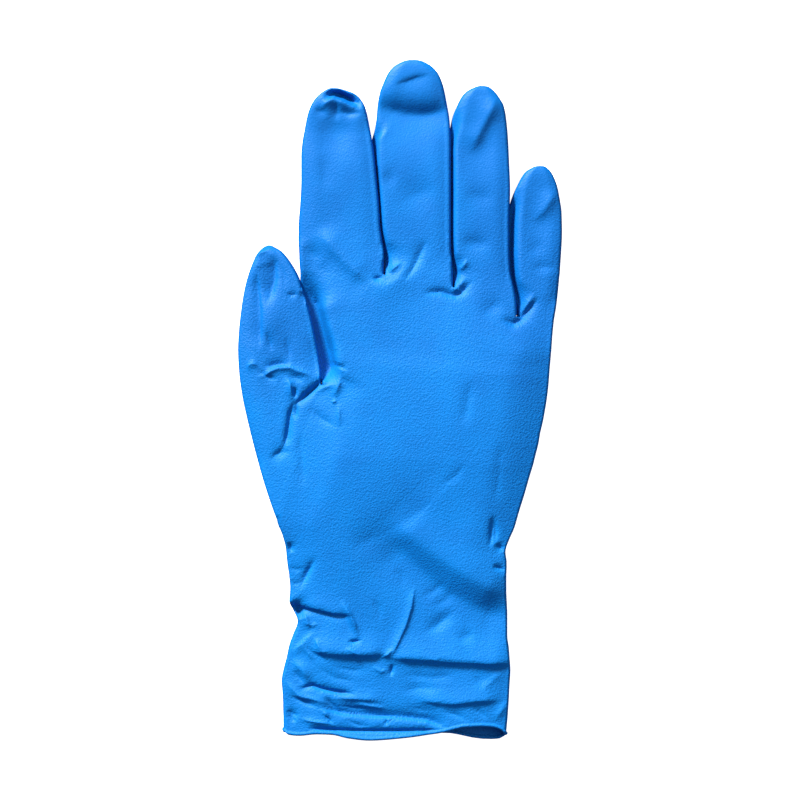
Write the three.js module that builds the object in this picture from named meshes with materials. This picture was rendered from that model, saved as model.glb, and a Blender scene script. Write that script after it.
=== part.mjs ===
// Disposable nitrile exam glove lying flat, palm film up, as one open hollow film.
// Millimetres. X runs across the palm, Y from the rolled rim to the fingertips, Z up from the surface.
import * as THREE from "three";

const GLOVE_LENGTH = 240;
const PALM_WIDTH = 88;
const PALM_RISE = 12;
const WALL = 1;
const RIM_RADIUS = 1.15;
const RIM_ANGLES = [65, 110, 155, 205, 250, 295].map((angle) => THREE.MathUtils.degToRad(angle));
const EDGE_INSET = 1;
const WIDEST_INSET_SHARE = 0.16;
const FREE_EDGE_SHARE = 0.5;
const TUCKED_EDGE_TOP = 2.7;
const LAPPED_EDGE_BOTTOM = 3.1;
const LAPPED_EDGE_TOP = 5.8;
const TUCK_FLAT = 2.2;
const LAP_LIFT = 6;
const CROTCH_RISE = 4.2;
const FINGER_ROLL_SHARE = 0.42;
const PALM_ROLL = 11;
const LIP_FADE = 14;
const KNUCKLE_FADE = 0.14;
const THUMB_ROOT_RISE = 9.2;
const THUMB_SWELL_POWER = 0.7;

// How firmly a point of the inner face is held from sliding sideways, and how far it may step in walls.
const SIDE_HOLD = 0.02;
const LONGEST_STEP = 1.7;

// Columns of the film over and under one finger, as shares of the finger's width.
const TOP_COLUMNS = [0, 0.1, 0.23, 0.41, 0.59, 0.77, 0.9, 1];
const UNDER_COLUMNS = [0, 0.76, 1];

// Sections of the hand from the rim to the knuckles. Ends across are shares of PALM_WIDTH from the
// middle line, ends along are shares of GLOVE_LENGTH from the rim, and rise is a share of PALM_RISE.
// under says how far the left edge is tucked below the digit on its left, and thumb marks the
// sections whose left edge opens into the thumb.
const BODY = [
  { at: 0.0, leftX: -0.4684, leftY: 0.0132, rightX: 0.4251, rightY: 0.0088, rise: 0.8, under: 0, thumb: false },
  { at: 0.0401, leftX: -0.4693, leftY: 0.0368, rightX: 0.4311, rightY: 0.0368, rise: 0.79, under: 0, thumb: false },
  { at: 0.0813, leftX: -0.4713, leftY: 0.0632, rightX: 0.4352, rightY: 0.0632, rise: 0.78, under: 0, thumb: false },
  { at: 0.118, leftX: -0.4753, leftY: 0.0882, rightX: 0.4384, rightY: 0.0853, rise: 0.767, under: 0, thumb: false },
  { at: 0.1433, leftX: -0.468, leftY: 0.1044, rightX: 0.4412, rightY: 0.1015, rise: 0.767, under: 0, thumb: false },
  { at: 0.171, leftX: -0.4552, leftY: 0.1221, rightX: 0.4384, rightY: 0.1191, rise: 0.767, under: 0, thumb: false },
  { at: 0.1974, leftX: -0.4452, leftY: 0.1397, rightX: 0.4352, rightY: 0.1353, rise: 0.767, under: 0, thumb: false },
  { at: 0.2239, leftX: -0.4291, leftY: 0.1559, rightX: 0.4291, rightY: 0.1529, rise: 0.767, under: 0, thumb: false },
  { at: 0.253, leftX: -0.4111, leftY: 0.175, rightX: 0.4291, rightY: 0.1706, rise: 0.783, under: 0, thumb: false },
  { at: 0.2763, leftX: -0.4271, leftY: 0.1897, rightX: 0.4291, rightY: 0.1853, rise: 0.8, under: 0, thumb: false },
  { at: 0.301, leftX: -0.4444, leftY: 0.2044, rightX: 0.4271, rightY: 0.2015, rise: 0.817, under: 0, thumb: false },
  { at: 0.3308, leftX: -0.4412, leftY: 0.2235, rightX: 0.4251, rightY: 0.2206, rise: 0.833, under: 0, thumb: false },
  { at: 0.364, leftX: -0.4464, leftY: 0.2441, rightX: 0.4251, rightY: 0.2426, rise: 0.85, under: 0, thumb: false },
  { at: 0.395, leftX: -0.4544, leftY: 0.2647, rightX: 0.4263, rightY: 0.2618, rise: 0.867, under: 0, thumb: false },
  { at: 0.4203, leftX: -0.4592, leftY: 0.2824, rightX: 0.4211, rightY: 0.2765, rise: 0.883, under: 0, thumb: false },
  { at: 0.4501, leftX: -0.4741, leftY: 0.3029, rightX: 0.436, rightY: 0.2941, rise: 0.9, under: 0, thumb: false },
  { at: 0.4799, leftX: -0.4945, leftY: 0.3235, rightX: 0.4572, rightY: 0.3118, rise: 0.917, under: 0, thumb: true },
  { at: 0.506, leftX: -0.4794, leftY: 0.3401, rightX: 0.4695, rightY: 0.3272, rise: 0.931, under: 0, thumb: true },
  { at: 0.5321, leftX: -0.4642, leftY: 0.3566, rightX: 0.4818, rightY: 0.3426, rise: 0.944, under: 0, thumb: true },
  { at: 0.5583, leftX: -0.4491, leftY: 0.3732, rightX: 0.4953, rightY: 0.3581, rise: 0.958, under: 0, thumb: true },
  { at: 0.5844, leftX: -0.434, leftY: 0.3897, rightX: 0.5074, rightY: 0.3735, rise: 0.972, under: 0, thumb: true },
  { at: 0.6105, leftX: -0.4188, leftY: 0.4062, rightX: 0.5194, rightY: 0.389, rise: 0.986, under: 0, thumb: true },
  { at: 0.6367, leftX: -0.4037, leftY: 0.4228, rightX: 0.5324, rightY: 0.4044, rise: 1.0, under: 0, thumb: true },
  { at: 0.6626, leftX: -0.3885, leftY: 0.4393, rightX: 0.5429, rightY: 0.4199, rise: 1.0, under: 0, thumb: true },
  { at: 0.6886, leftX: -0.3734, leftY: 0.4559, rightX: 0.5535, rightY: 0.4353, rise: 1.0, under: 0, thumb: true },
  { at: 0.7143, leftX: -0.3583, leftY: 0.4724, rightX: 0.5605, rightY: 0.4507, rise: 1.0, under: 0, thumb: true },
  { at: 0.7402, leftX: -0.3431, leftY: 0.489, rightX: 0.5705, rightY: 0.4662, rise: 1.0, under: 0, thumb: true },
  { at: 0.766, leftX: -0.328, leftY: 0.5055, rightX: 0.5785, rightY: 0.4816, rise: 1.0, under: 0, thumb: true },
  { at: 0.7917, leftX: -0.3128, leftY: 0.5221, rightX: 0.5856, rightY: 0.4971, rise: 1.0, under: 0, thumb: true },
  { at: 0.8147, leftX: -0.3269, leftY: 0.5368, rightX: 0.5908, rightY: 0.5118, rise: 1.0, under: 0.6, thumb: false },
  { at: 0.8401, leftX: -0.3429, leftY: 0.5529, rightX: 0.5952, rightY: 0.5279, rise: 1.0, under: 1, thumb: false },
  { at: 0.8735, leftX: -0.359, leftY: 0.5794, rightX: 0.5984, rightY: 0.5441, rise: 0.967, under: 1, thumb: false },
  { at: 0.9081, leftX: -0.377, leftY: 0.6074, rightX: 0.6024, rightY: 0.5603, rise: 0.933, under: 1, thumb: false },
  { at: 0.9404, leftX: -0.3939, leftY: 0.6353, rightX: 0.6056, rightY: 0.5735, rise: 0.883, under: 1, thumb: false },
  { at: 0.9691, leftX: -0.4011, leftY: 0.6603, rightX: 0.608, rightY: 0.5853, rise: 0.833, under: 0.8, thumb: false },
  { at: 1.0, leftX: -0.4011, leftY: 0.6882, rightX: 0.6104, rightY: 0.5971, rise: 0.767, under: 0, thumb: false },
];

// Where the fingers part: shares of PALM_WIDTH and GLOVE_LENGTH.
const CROTCHES = [
  { x: -0.4011, y: 0.6882 },
  { x: -0.0654, y: 0.6816 },
  { x: 0.2114, y: 0.6632 },
  { x: 0.4668, y: 0.6213 },
  { x: 0.6104, y: 0.5971 },
];

// Sections of each digit from its root to its tip, in the same shares. over says how far the
// right edge lies on top of the neighbour on its right.
const INDEX = [
  { at: 0.0, leftX: -0.4011, leftY: 0.6882, rightX: -0.0654, rightY: 0.6816, rise: 0.767, under: 0, over: 0 },
  { at: 0.0476, leftX: -0.4043, leftY: 0.7, rightX: -0.0682, rightY: 0.6956, rise: 0.75, under: 0, over: 0.6 },
  { at: 0.1099, leftX: -0.4059, leftY: 0.7162, rightX: -0.0666, rightY: 0.7132, rise: 0.733, under: 0, over: 1 },
  { at: 0.175, leftX: -0.4083, leftY: 0.7338, rightX: -0.0714, rightY: 0.7309, rise: 0.717, under: 0, over: 1 },
  { at: 0.2456, leftX: -0.4083, leftY: 0.7529, rightX: -0.0786, rightY: 0.75, rise: 0.708, under: 0, over: 1 },
  { at: 0.3702, leftX: -0.4019, leftY: 0.7853, rightX: -0.0846, rightY: 0.7853, rise: 0.708, under: 0, over: 1 },
  { at: 0.5111, leftX: -0.3971, leftY: 0.8235, rightX: -0.0943, rightY: 0.8235, rise: 0.708, under: 0, over: 1 },
  { at: 0.6412, leftX: -0.3971, leftY: 0.8588, rightX: -0.1043, rightY: 0.8588, rise: 0.708, under: 0, over: 1 },
  { at: 0.7171, leftX: -0.3922, leftY: 0.8794, rightX: -0.1123, rightY: 0.8794, rise: 0.708, under: 0, over: 1 },
  { at: 0.7821, leftX: -0.3834, leftY: 0.8971, rightX: -0.1211, rightY: 0.8971, rise: 0.692, under: 0, over: 0.6 },
  { at: 0.8471, leftX: -0.3742, leftY: 0.9147, rightX: -0.1303, rightY: 0.9147, rise: 0.667, under: 0, over: 0.2 },
  { at: 0.9013, leftX: -0.361, leftY: 0.9294, rightX: -0.1404, rightY: 0.9294, rise: 0.617, under: 0, over: 0 },
  { at: 0.9446, leftX: -0.3425, leftY: 0.9412, rightX: -0.1584, rightY: 0.9412, rise: 0.533, under: 0, over: 0 },
  { at: 0.9745, leftX: -0.3209, leftY: 0.9493, rightX: -0.1825, rightY: 0.9493, rise: 0.433, under: 0, over: 0 },
  { at: 1.0, leftX: -0.2968, leftY: 0.9551, rightX: -0.2266, rightY: 0.9551, rise: 0.317, under: 0, over: 0 },
];
const MIDDLE = [
  { at: 0.0, leftX: -0.0654, leftY: 0.6816, rightX: 0.2114, rightY: 0.6632, rise: 0.767, under: 0, over: 0 },
  { at: 0.0442, leftX: -0.0602, leftY: 0.6956, rightX: 0.2086, rightY: 0.6779, rise: 0.75, under: 0.6, over: 0.6 },
  { at: 0.1011, leftX: -0.0666, leftY: 0.7132, rightX: 0.2057, rightY: 0.6971, rise: 0.733, under: 1, over: 1 },
  { at: 0.1653, leftX: -0.0822, leftY: 0.7309, rightX: 0.2029, rightY: 0.7206, rise: 0.717, under: 1, over: 1 },
  { at: 0.2359, leftX: -0.0943, leftY: 0.75, rightX: 0.2021, rightY: 0.7471, rise: 0.717, under: 1, over: 1 },
  { at: 0.3493, leftX: -0.1019, leftY: 0.7853, rightX: 0.2021, rightY: 0.7853, rise: 0.717, under: 1, over: 1 },
  { at: 0.4671, leftX: -0.1099, leftY: 0.8235, rightX: 0.2021, rightY: 0.8235, rise: 0.717, under: 1, over: 1 },
  { at: 0.5759, leftX: -0.1163, leftY: 0.8588, rightX: 0.2021, rightY: 0.8588, rise: 0.717, under: 1, over: 1 },
  { at: 0.6393, leftX: -0.1151, leftY: 0.8794, rightX: 0.2017, rightY: 0.8794, rise: 0.717, under: 1, over: 1 },
  { at: 0.694, leftX: -0.1023, leftY: 0.8971, rightX: 0.1997, rightY: 0.8971, rise: 0.717, under: 0.4, over: 1 },
  { at: 0.7484, leftX: -0.0955, leftY: 0.9147, rightX: 0.1957, rightY: 0.9147, rise: 0.708, under: 0.1, over: 0.8 },
  { at: 0.8028, leftX: -0.0914, leftY: 0.9324, rightX: 0.1877, rightY: 0.9324, rise: 0.7, under: 0, over: 0.3 },
  { at: 0.8572, leftX: -0.0826, leftY: 0.95, rightX: 0.1789, rightY: 0.95, rise: 0.683, under: 0, over: 0 },
  { at: 0.9071, leftX: -0.0666, leftY: 0.9662, rightX: 0.1676, rightY: 0.9662, rise: 0.633, under: 0, over: 0 },
  { at: 0.9479, leftX: -0.0497, leftY: 0.9794, rightX: 0.1508, rightY: 0.9794, rise: 0.55, under: 0, over: 0 },
  { at: 0.9796, leftX: -0.0241, leftY: 0.9897, rightX: 0.1243, rightY: 0.9897, rise: 0.45, under: 0, over: 0 },
  { at: 1.0, leftX: 0.01, leftY: 0.9963, rightX: 0.0922, rightY: 0.9963, rise: 0.317, under: 0, over: 0 },
];
const RING = [
  { at: 0.0, leftX: 0.2114, leftY: 0.6632, rightX: 0.4668, rightY: 0.6213, rise: 0.767, under: 0, over: 0 },
  { at: 0.0498, leftX: 0.2166, leftY: 0.6779, rightX: 0.462, rightY: 0.6382, rise: 0.75, under: 0.6, over: 0.6 },
  { at: 0.1156, leftX: 0.2057, leftY: 0.6971, rightX: 0.4532, rightY: 0.6603, rise: 0.733, under: 1, over: 1 },
  { at: 0.1984, leftX: 0.1893, leftY: 0.7206, rightX: 0.4396, rightY: 0.6882, rise: 0.717, under: 1, over: 1 },
  { at: 0.2911, leftX: 0.1865, leftY: 0.7471, rightX: 0.4356, rightY: 0.7206, rise: 0.717, under: 1, over: 1 },
  { at: 0.4161, leftX: 0.1865, leftY: 0.7853, rightX: 0.4356, rightY: 0.7618, rise: 0.717, under: 1, over: 1 },
  { at: 0.5504, leftX: 0.1865, leftY: 0.8235, rightX: 0.4396, rightY: 0.8088, rise: 0.717, under: 1, over: 0.6 },
  { at: 0.6754, leftX: 0.1865, leftY: 0.8588, rightX: 0.4356, rightY: 0.8529, rise: 0.717, under: 1, over: 0.2 },
  { at: 0.7472, leftX: 0.1893, leftY: 0.8794, rightX: 0.4328, rightY: 0.8779, rise: 0.717, under: 1, over: 0 },
  { at: 0.8051, leftX: 0.1989, leftY: 0.8971, rightX: 0.4291, rightY: 0.8971, rise: 0.708, under: 0.6, over: 0 },
  { at: 0.8607, leftX: 0.2086, leftY: 0.9147, rightX: 0.4239, rightY: 0.9147, rise: 0.683, under: 0.2, over: 0 },
  { at: 0.9073, leftX: 0.2246, leftY: 0.9294, rightX: 0.4171, rightY: 0.9294, rise: 0.633, under: 0, over: 0 },
  { at: 0.9513, leftX: 0.243, leftY: 0.9434, rightX: 0.3967, rightY: 0.9434, rise: 0.55, under: 0, over: 0 },
  { at: 0.9815, leftX: 0.2667, leftY: 0.9529, rightX: 0.377, rightY: 0.9529, rise: 0.45, under: 0, over: 0 },
  { at: 1.0, leftX: 0.2968, leftY: 0.9584, rightX: 0.359, rightY: 0.9584, rise: 0.317, under: 0, over: 0 },
];
const LITTLE = [
  { at: 0.0, leftX: 0.4668, leftY: 0.6213, rightX: 0.6104, rightY: 0.5971, rise: 0.75, under: 0, over: 0 },
  { at: 0.0745, leftX: 0.4709, leftY: 0.6382, rightX: 0.6152, rightY: 0.6147, rise: 0.733, under: 0.6, over: 0 },
  { at: 0.1663, leftX: 0.4548, leftY: 0.6603, rightX: 0.6245, rightY: 0.6353, rise: 0.717, under: 1, over: 0 },
  { at: 0.2839, leftX: 0.4291, leftY: 0.6882, rightX: 0.6329, rightY: 0.6618, rise: 0.7, under: 1, over: 0 },
  { at: 0.4355, leftX: 0.4227, leftY: 0.7206, rightX: 0.6417, rightY: 0.7, rise: 0.692, under: 1, over: 0 },
  { at: 0.6062, leftX: 0.4243, leftY: 0.7529, rightX: 0.6485, rightY: 0.7471, rise: 0.683, under: 1, over: 0 },
  { at: 0.72, leftX: 0.4316, leftY: 0.7765, rightX: 0.6465, rightY: 0.7765, rise: 0.683, under: 0.9, over: 0 },
  { at: 0.8086, leftX: 0.4476, leftY: 0.7971, rightX: 0.6377, rightY: 0.7971, rise: 0.667, under: 0.3, over: 0 },
  { at: 0.8786, leftX: 0.4668, leftY: 0.8132, rightX: 0.6289, rightY: 0.8132, rise: 0.6, under: 0, over: 0 },
  { at: 0.9356, leftX: 0.4853, leftY: 0.8265, rightX: 0.616, rightY: 0.8265, rise: 0.517, under: 0, over: 0 },
  { at: 0.9768, leftX: 0.5053, leftY: 0.836, rightX: 0.6008, rightY: 0.836, rise: 0.417, under: 0, over: 0 },
  { at: 1.0, leftX: 0.5294, leftY: 0.8412, rightX: 0.5856, rightY: 0.8412, rise: 0.317, under: 0, over: 0 },
];
const THUMB = [
  { at: 0.0, leftX: -0.4945, leftY: 0.3235, rightX: -0.3128, rightY: 0.5221, rise: 0.967, under: 0, over: 0 },
  { at: 0.0558, leftX: -0.5194, leftY: 0.3485, rightX: -0.3172, rightY: 0.5287, rise: 0.883, under: 0, over: 0.5 },
  { at: 0.1406, leftX: -0.5519, leftY: 0.3853, rightX: -0.3184, rightY: 0.5412, rise: 0.833, under: 0, over: 1 },
  { at: 0.2389, leftX: -0.5832, leftY: 0.4265, rightX: -0.3233, rightY: 0.5574, rise: 0.8, under: 0, over: 1 },
  { at: 0.3394, leftX: -0.6112, leftY: 0.4676, rightX: -0.3305, rightY: 0.575, rise: 0.783, under: 0, over: 1 },
  { at: 0.4398, leftX: -0.6337, leftY: 0.5059, rightX: -0.3417, rightY: 0.5956, rise: 0.767, under: 0, over: 1 },
  { at: 0.5369, leftX: -0.6465, leftY: 0.5412, rightX: -0.3545, rightY: 0.6176, rise: 0.75, under: 0, over: 1 },
  { at: 0.6285, leftX: -0.6509, leftY: 0.5735, rightX: -0.3698, rightY: 0.6397, rise: 0.733, under: 0, over: 1 },
  { at: 0.7051, leftX: -0.6473, leftY: 0.6, rightX: -0.3874, rightY: 0.6588, rise: 0.717, under: 0, over: 1 },
  { at: 0.7765, leftX: -0.6405, leftY: 0.625, rightX: -0.4019, rightY: 0.6765, rise: 0.7, under: 0, over: 0.6 },
  { at: 0.8332, leftX: -0.6321, leftY: 0.6456, rightX: -0.4187, rightY: 0.6897, rise: 0.683, under: 0, over: 0.2 },
  { at: 0.8864, leftX: -0.6225, leftY: 0.6647, rightX: -0.4396, rightY: 0.7022, rise: 0.633, under: 0, over: 0 },
  { at: 0.9334, leftX: -0.6096, leftY: 0.6824, rightX: -0.4612, rightY: 0.7125, rise: 0.567, under: 0, over: 0 },
  { at: 0.9679, leftX: -0.5964, leftY: 0.6963, rightX: -0.4789, rightY: 0.7191, rise: 0.467, under: 0, over: 0 },
  { at: 1.0, leftX: -0.5807, leftY: 0.7103, rightX: -0.5029, rightY: 0.7241, rise: 0.325, under: 0, over: 0 },
];
const FINGERS = [
  { sections: INDEX, tipX: -0.2687, tipY: 0.9588 },
  { sections: MIDDLE, tipX: 0.0501, tipY: 1 },
  { sections: RING, tipX: 0.3289, tipY: 0.9618 },
  { sections: LITTLE, tipX: 0.5615, tipY: 0.8441 },
];
const THUMB_TIP = { tipX: -0.5414, tipY: 0.726 };
const TIP_RISE_SHARE = 0.15;

// Edge of the rim along X for the film on top and the film below.
const LIP = [
  { x: -0.4684, top: 0.0206, bottom: 0.0162 },
  { x: -0.4532, top: 0.0125, bottom: 0.014 },
  { x: -0.4051, top: 0.0109, bottom: 0.0125 },
  { x: -0.3369, top: 0.0132, bottom: 0.0125 },
  { x: -0.2727, top: 0.0125, bottom: 0.0118 },
  { x: -0.2045, top: 0.0074, bottom: 0.0118 },
  { x: -0.1223, top: 0.0044, bottom: 0.0118 },
  { x: 0.0, top: 0.0074, bottom: 0.0118 },
  { x: 0.1243, top: 0.0132, bottom: 0.0103 },
  { x: 0.1725, top: 0.0165, bottom: 0.0103 },
  { x: 0.2086, top: 0.0199, bottom: 0.0096 },
  { x: 0.2567, top: 0.0235, bottom: 0.0059 },
  { x: 0.3249, top: 0.0244, bottom: 0.0015 },
  { x: 0.369, top: 0.0232, bottom: 0.001 },
  { x: 0.4011, top: 0.0191, bottom: 0.0021 },
  { x: 0.4251, top: 0.0125, bottom: 0.0059 },
];

// Folds of the top film: line ends in the same shares, spread to each side as a share of PALM_WIDTH
// and height as a share of PALM_RISE. A height below zero is a valley.
const FOLDS = [
  { fromX: -0.38, fromY: 0.13, toX: -0.09, toY: 0.122, spread: 0.034, height: 0.1 },
  { fromX: -0.03, fromY: 0.127, toX: 0.42, toY: 0.118, spread: 0.034, height: 0.108 },
  { fromX: -0.4, fromY: 0.112, toX: 0.41, toY: 0.108, spread: 0.03, height: -0.092 },
  { fromX: -0.34, fromY: 0.012, toX: 0.13, toY: 0.014, spread: 0.027, height: -0.083 },
  { fromX: -0.3, fromY: 0.044, toX: 0.13, toY: 0.026, spread: 0.03, height: 0.083 },
  { fromX: -0.44, fromY: 0.198, toX: -0.21, toY: 0.184, spread: 0.034, height: 0.092 },
  { fromX: -0.24, fromY: 0.21, toX: -0.17, toY: 0.155, spread: 0.032, height: 0.083 },
  { fromX: 0.05, fromY: 0.22, toX: -0.03, toY: 0.135, spread: 0.034, height: 0.092 },
  { fromX: 0.06, fromY: 0.279, toX: 0.42, toY: 0.196, spread: 0.068, height: -0.133 },
  { fromX: -0.35, fromY: 0.53, toX: -0.42, toY: 0.48, spread: 0.039, height: -0.167 },
  { fromX: -0.44, fromY: 0.476, toX: -0.47, toY: 0.42, spread: 0.039, height: -0.117 },
  { fromX: -0.27, fromY: 0.541, toX: -0.26, toY: 0.46, spread: 0.036, height: 0.092 },
  { fromX: -0.3, fromY: 0.75, toX: -0.17, toY: 0.684, spread: 0.039, height: 0.1 },
  { fromX: -0.15, fromY: 0.675, toX: 0.02, toY: 0.7, spread: 0.036, height: 0.092 },
  { fromX: 0.08, fromY: 0.655, toX: 0.29, toY: 0.673, spread: 0.036, height: -0.108 },
  { fromX: 0.39, fromY: 0.614, toX: 0.54, toY: 0.655, spread: 0.034, height: -0.1 },
  { fromX: -0.4, fromY: 0.723, toX: -0.31, toY: 0.702, spread: 0.057, height: -0.083 },
  { fromX: -0.62, fromY: 0.55, toX: -0.38, toY: 0.538, spread: 0.032, height: 0.083 },
  { fromX: -0.6, fromY: 0.7, toX: -0.6, toY: 0.645, spread: 0.051, height: -0.117 },
];

const ease = (value) => THREE.MathUtils.smoothstep(value, 0, 1);
const mix = THREE.MathUtils.lerp;

// Slope of one column at a row, flat where the column turns, so that curves never overshoot.
function slopeAt(rows, place, key, at) {
  if (at === 0 || at === rows.length - 1) {
    return 0;
  }
  const before = (rows[at][key] - rows[at - 1][key]) / (rows[at][place] - rows[at - 1][place]);
  const after = (rows[at + 1][key] - rows[at][key]) / (rows[at + 1][place] - rows[at][place]);
  return before * after <= 0 ? 0 : (2 * before * after) / (before + after);
}

// Smooth curve through one column of a table.
function curveAt(rows, place, key, where) {
  const last = rows.length - 2;
  const found = rows.findIndex((row, at) => at > 0 && row[place] >= where);
  const at = found < 0 ? last : found - 1;
  const span = rows[at + 1][place] - rows[at][place];
  const share = THREE.MathUtils.clamp((where - rows[at][place]) / span, 0, 1);
  const low = rows[at][key];
  const high = rows[at + 1][key];
  const bend = share * (1 - share) * span;
  const pull = slopeAt(rows, place, key, at) * (1 - share) - slopeAt(rows, place, key, at + 1) * share;
  return mix(low, high, ease(share)) + bend * pull;
}

// One section of a table in millimetres.
function sectionAt(rows, where) {
  const value = (key) => curveAt(rows, "at", key, where);
  return {
    left: new THREE.Vector2(value("leftX") * PALM_WIDTH, value("leftY") * GLOVE_LENGTH),
    right: new THREE.Vector2(value("rightX") * PALM_WIDTH, value("rightY") * GLOVE_LENGTH),
    rise: value("rise") * PALM_RISE,
    under: value("under"),
    over: rows[0].over === undefined ? 0 : value("over"),
  };
}

// Height of the top film at a distance from an edge of the given height.
function rollUp(edge, rise, distance, width) {
  return edge + (rise - edge) * Math.sin(THREE.MathUtils.clamp(distance / width, 0, 1) * Math.PI * 0.5);
}

function edgeHeights(section) {
  const free = section.rise * FREE_EDGE_SHARE;
  return {
    left: mix(free, TUCKED_EDGE_TOP, section.under),
    rightBottom: LAPPED_EDGE_BOTTOM * section.over,
    right: mix(free, LAPPED_EDGE_TOP, section.over),
  };
}

// Points of one section: top film left to right, right edge, bottom film right to left, left edge.
function sectionLoop(section, topShares, underShares, roll) {
  const width = section.left.distanceTo(section.right);
  const inset = Math.min(EDGE_INSET, width * WIDEST_INSET_SHARE);
  const heights = edgeHeights(section);
  const place = (share, z) => {
    const point = section.left.clone().lerp(section.right, share);
    return new THREE.Vector3(point.x, point.y, z);
  };
  const inside = (share) => (inset + share * (width - 2 * inset)) / width;
  const top = topShares.map((share) => {
    const fromLeft = inside(share) * width - inset - section.under * TUCK_FLAT;
    const fromRight = (1 - inside(share)) * width - inset;
    const left = rollUp(heights.left, section.rise, fromLeft, roll(width));
    const right = rollUp(heights.right, section.rise, fromRight, roll(width));
    return place(inside(share), Math.min(left, right));
  });
  const under = underShares.map((share) => {
    const fromRight = (1 - inside(share)) * width - inset;
    return place(inside(share), heights.rightBottom * (1 - ease(fromRight / LAP_LIFT)));
  });
  return {
    top,
    rightEdge: place(1, (heights.right + heights.rightBottom) / 2),
    under: under.reverse(),
    leftEdge: place(0, heights.left / 2),
  };
}

const fingerRoll = (width) => width * FINGER_ROLL_SHARE;
const palmRoll = () => PALM_ROLL;

// Shares across the palm of all columns, so that columns meet the crotches.
function palmColumns(columns) {
  const span = CROTCHES[4].x - CROTCHES[0].x;
  const shares = [0];
  for (let finger = 0; finger < 4; finger += 1) {
    const from = (CROTCHES[finger].x - CROTCHES[0].x) / span;
    const to = (CROTCHES[finger + 1].x - CROTCHES[0].x) / span;
    columns.slice(1).forEach((share) => shares.push(mix(from, to, share)));
  }
  return shares;
}

// How far the line of knuckles stands forward of the straight line between its ends.
function knuckleBow(share) {
  const first = CROTCHES[0];
  const last = CROTCHES[4];
  const x = mix(first.x, last.x, share);
  return (curveAt(CROTCHES, "x", "y", x) - mix(first.y, last.y, share)) * GLOVE_LENGTH;
}

// Height of the top film on the line of knuckles, low at each crotch.
function knuckleRise(share, rise, leftEdge) {
  const x = mix(CROTCHES[0].x, CROTCHES[4].x, share);
  const near = CROTCHES.slice(1, 4).map((crotch) => Math.abs(x - crotch.x) * PALM_WIDTH);
  const distance = Math.min(...near);
  const width = fingerRoll(PALM_WIDTH / 4);
  const fromLeft = rollUp(leftEdge, rise, share * PALM_WIDTH - EDGE_INSET, width);
  const fromRight = rollUp(rise / 2, rise, (1 - share) * PALM_WIDTH - EDGE_INSET, width);
  return Math.min(rollUp(CROTCH_RISE, rise, distance, width), fromLeft, fromRight);
}

function bodyLoop(rowIndex) {
  const row = BODY[rowIndex];
  const section = sectionAt(BODY, row.at);
  const topShares = palmColumns(TOP_COLUMNS);
  const underShares = palmColumns(UNDER_COLUMNS);
  const loop = sectionLoop(section, topShares, underShares, palmRoll);
  const knuckle = ease((row.at - 1 + KNUCKLE_FADE) / KNUCKLE_FADE);
  const bow = (point, share) => {
    point.y += knuckleBow(share) * knuckle;
  };
  loop.top.forEach((point, column) => {
    const share = topShares[column];
    bow(point, share);
    point.z = mix(point.z, knuckleRise(share, section.rise, edgeHeights(section).left), knuckle);
  });
  loop.under.forEach((point, column) => bow(point, underShares[underShares.length - 1 - column]));
  const thumbRows = BODY.filter((item) => item.thumb);
  const share = thumbRows.indexOf(row) / (thumbRows.length - 1);
  if (share > 0 && share < 1) {
    const swell = Math.sin(share * Math.PI) ** THUMB_SWELL_POWER;
    loop.top.slice(0, TOP_COLUMNS.length).forEach((point) => {
      const fade = 1 - ease((point.x - loop.top[0].x) / PALM_ROLL);
      point.z = mix(point.z, Math.max(point.z, THUMB_ROOT_RISE), swell * fade);
    });
    const edgeShift = section.left.x - loop.top[0].x;
    loop.top[0].x += edgeShift;
    loop.under[loop.under.length - 1].x += edgeShift;
  }
  const fromRim = (section.left.y + section.right.y) / 2 - BODY[0].leftY * GLOVE_LENGTH;
  const lipFade = 1 - ease(fromRim / LIP_FADE);
  const toLip = (key) => (point) => {
    const lip = curveAt(LIP, "x", key, point.x / PALM_WIDTH) * GLOVE_LENGTH + RIM_RADIUS * 2;
    point.y = mix(point.y, lip + fromRim, lipFade);
  };
  loop.top.forEach(toLip("top"));
  loop.under.forEach(toLip("bottom"));
  loop.under.forEach((point) => {
    point.z += (RIM_RADIUS - WALL / 2) * lipFade;
  });
  loop.rightEdge.y = (loop.top[loop.top.length - 1].y + loop.under[0].y) / 2;
  loop.leftEdge.y = (loop.top[0].y + loop.under[loop.under.length - 1].y) / 2;
  return loop;
}

// How high the folds lift the top film at one place.
function foldLift(x, y) {
  let lift = 0;
  for (const fold of FOLDS) {
    const from = new THREE.Vector2(fold.fromX * PALM_WIDTH, fold.fromY * GLOVE_LENGTH);
    const to = new THREE.Vector2(fold.toX * PALM_WIDTH, fold.toY * GLOVE_LENGTH);
    const line = to.clone().sub(from);
    const offset = new THREE.Vector2(x, y).sub(from);
    const share = THREE.MathUtils.clamp(offset.dot(line) / line.lengthSq(), 0, 1);
    const distance = offset.sub(line.multiplyScalar(share)).length();
    lift += fold.height * PALM_RISE * Math.exp(-((distance / (fold.spread * PALM_WIDTH)) ** 2));
  }
  return lift;
}

class Film {
  constructor() {
    this.points = [];
    this.faces = [];
  }

  add(point) {
    this.points.push(point);
    return this.points.length - 1;
  }

  quad(a, b, c, d) {
    this.faces.push([a, b, c], [a, c, d]);
  }

  // Joins two rows of point numbers.
  strip(lower, upper) {
    for (let at = 0; at + 1 < lower.length; at += 1) {
      this.quad(lower[at], lower[at + 1], upper[at + 1], upper[at]);
    }
  }
}

function addLoop(film, loop) {
  return {
    top: loop.top.map((point) => film.add(point)),
    rightEdge: film.add(loop.rightEdge),
    under: loop.under.map((point) => film.add(point)),
    leftEdge: film.add(loop.leftEdge),
  };
}

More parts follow.
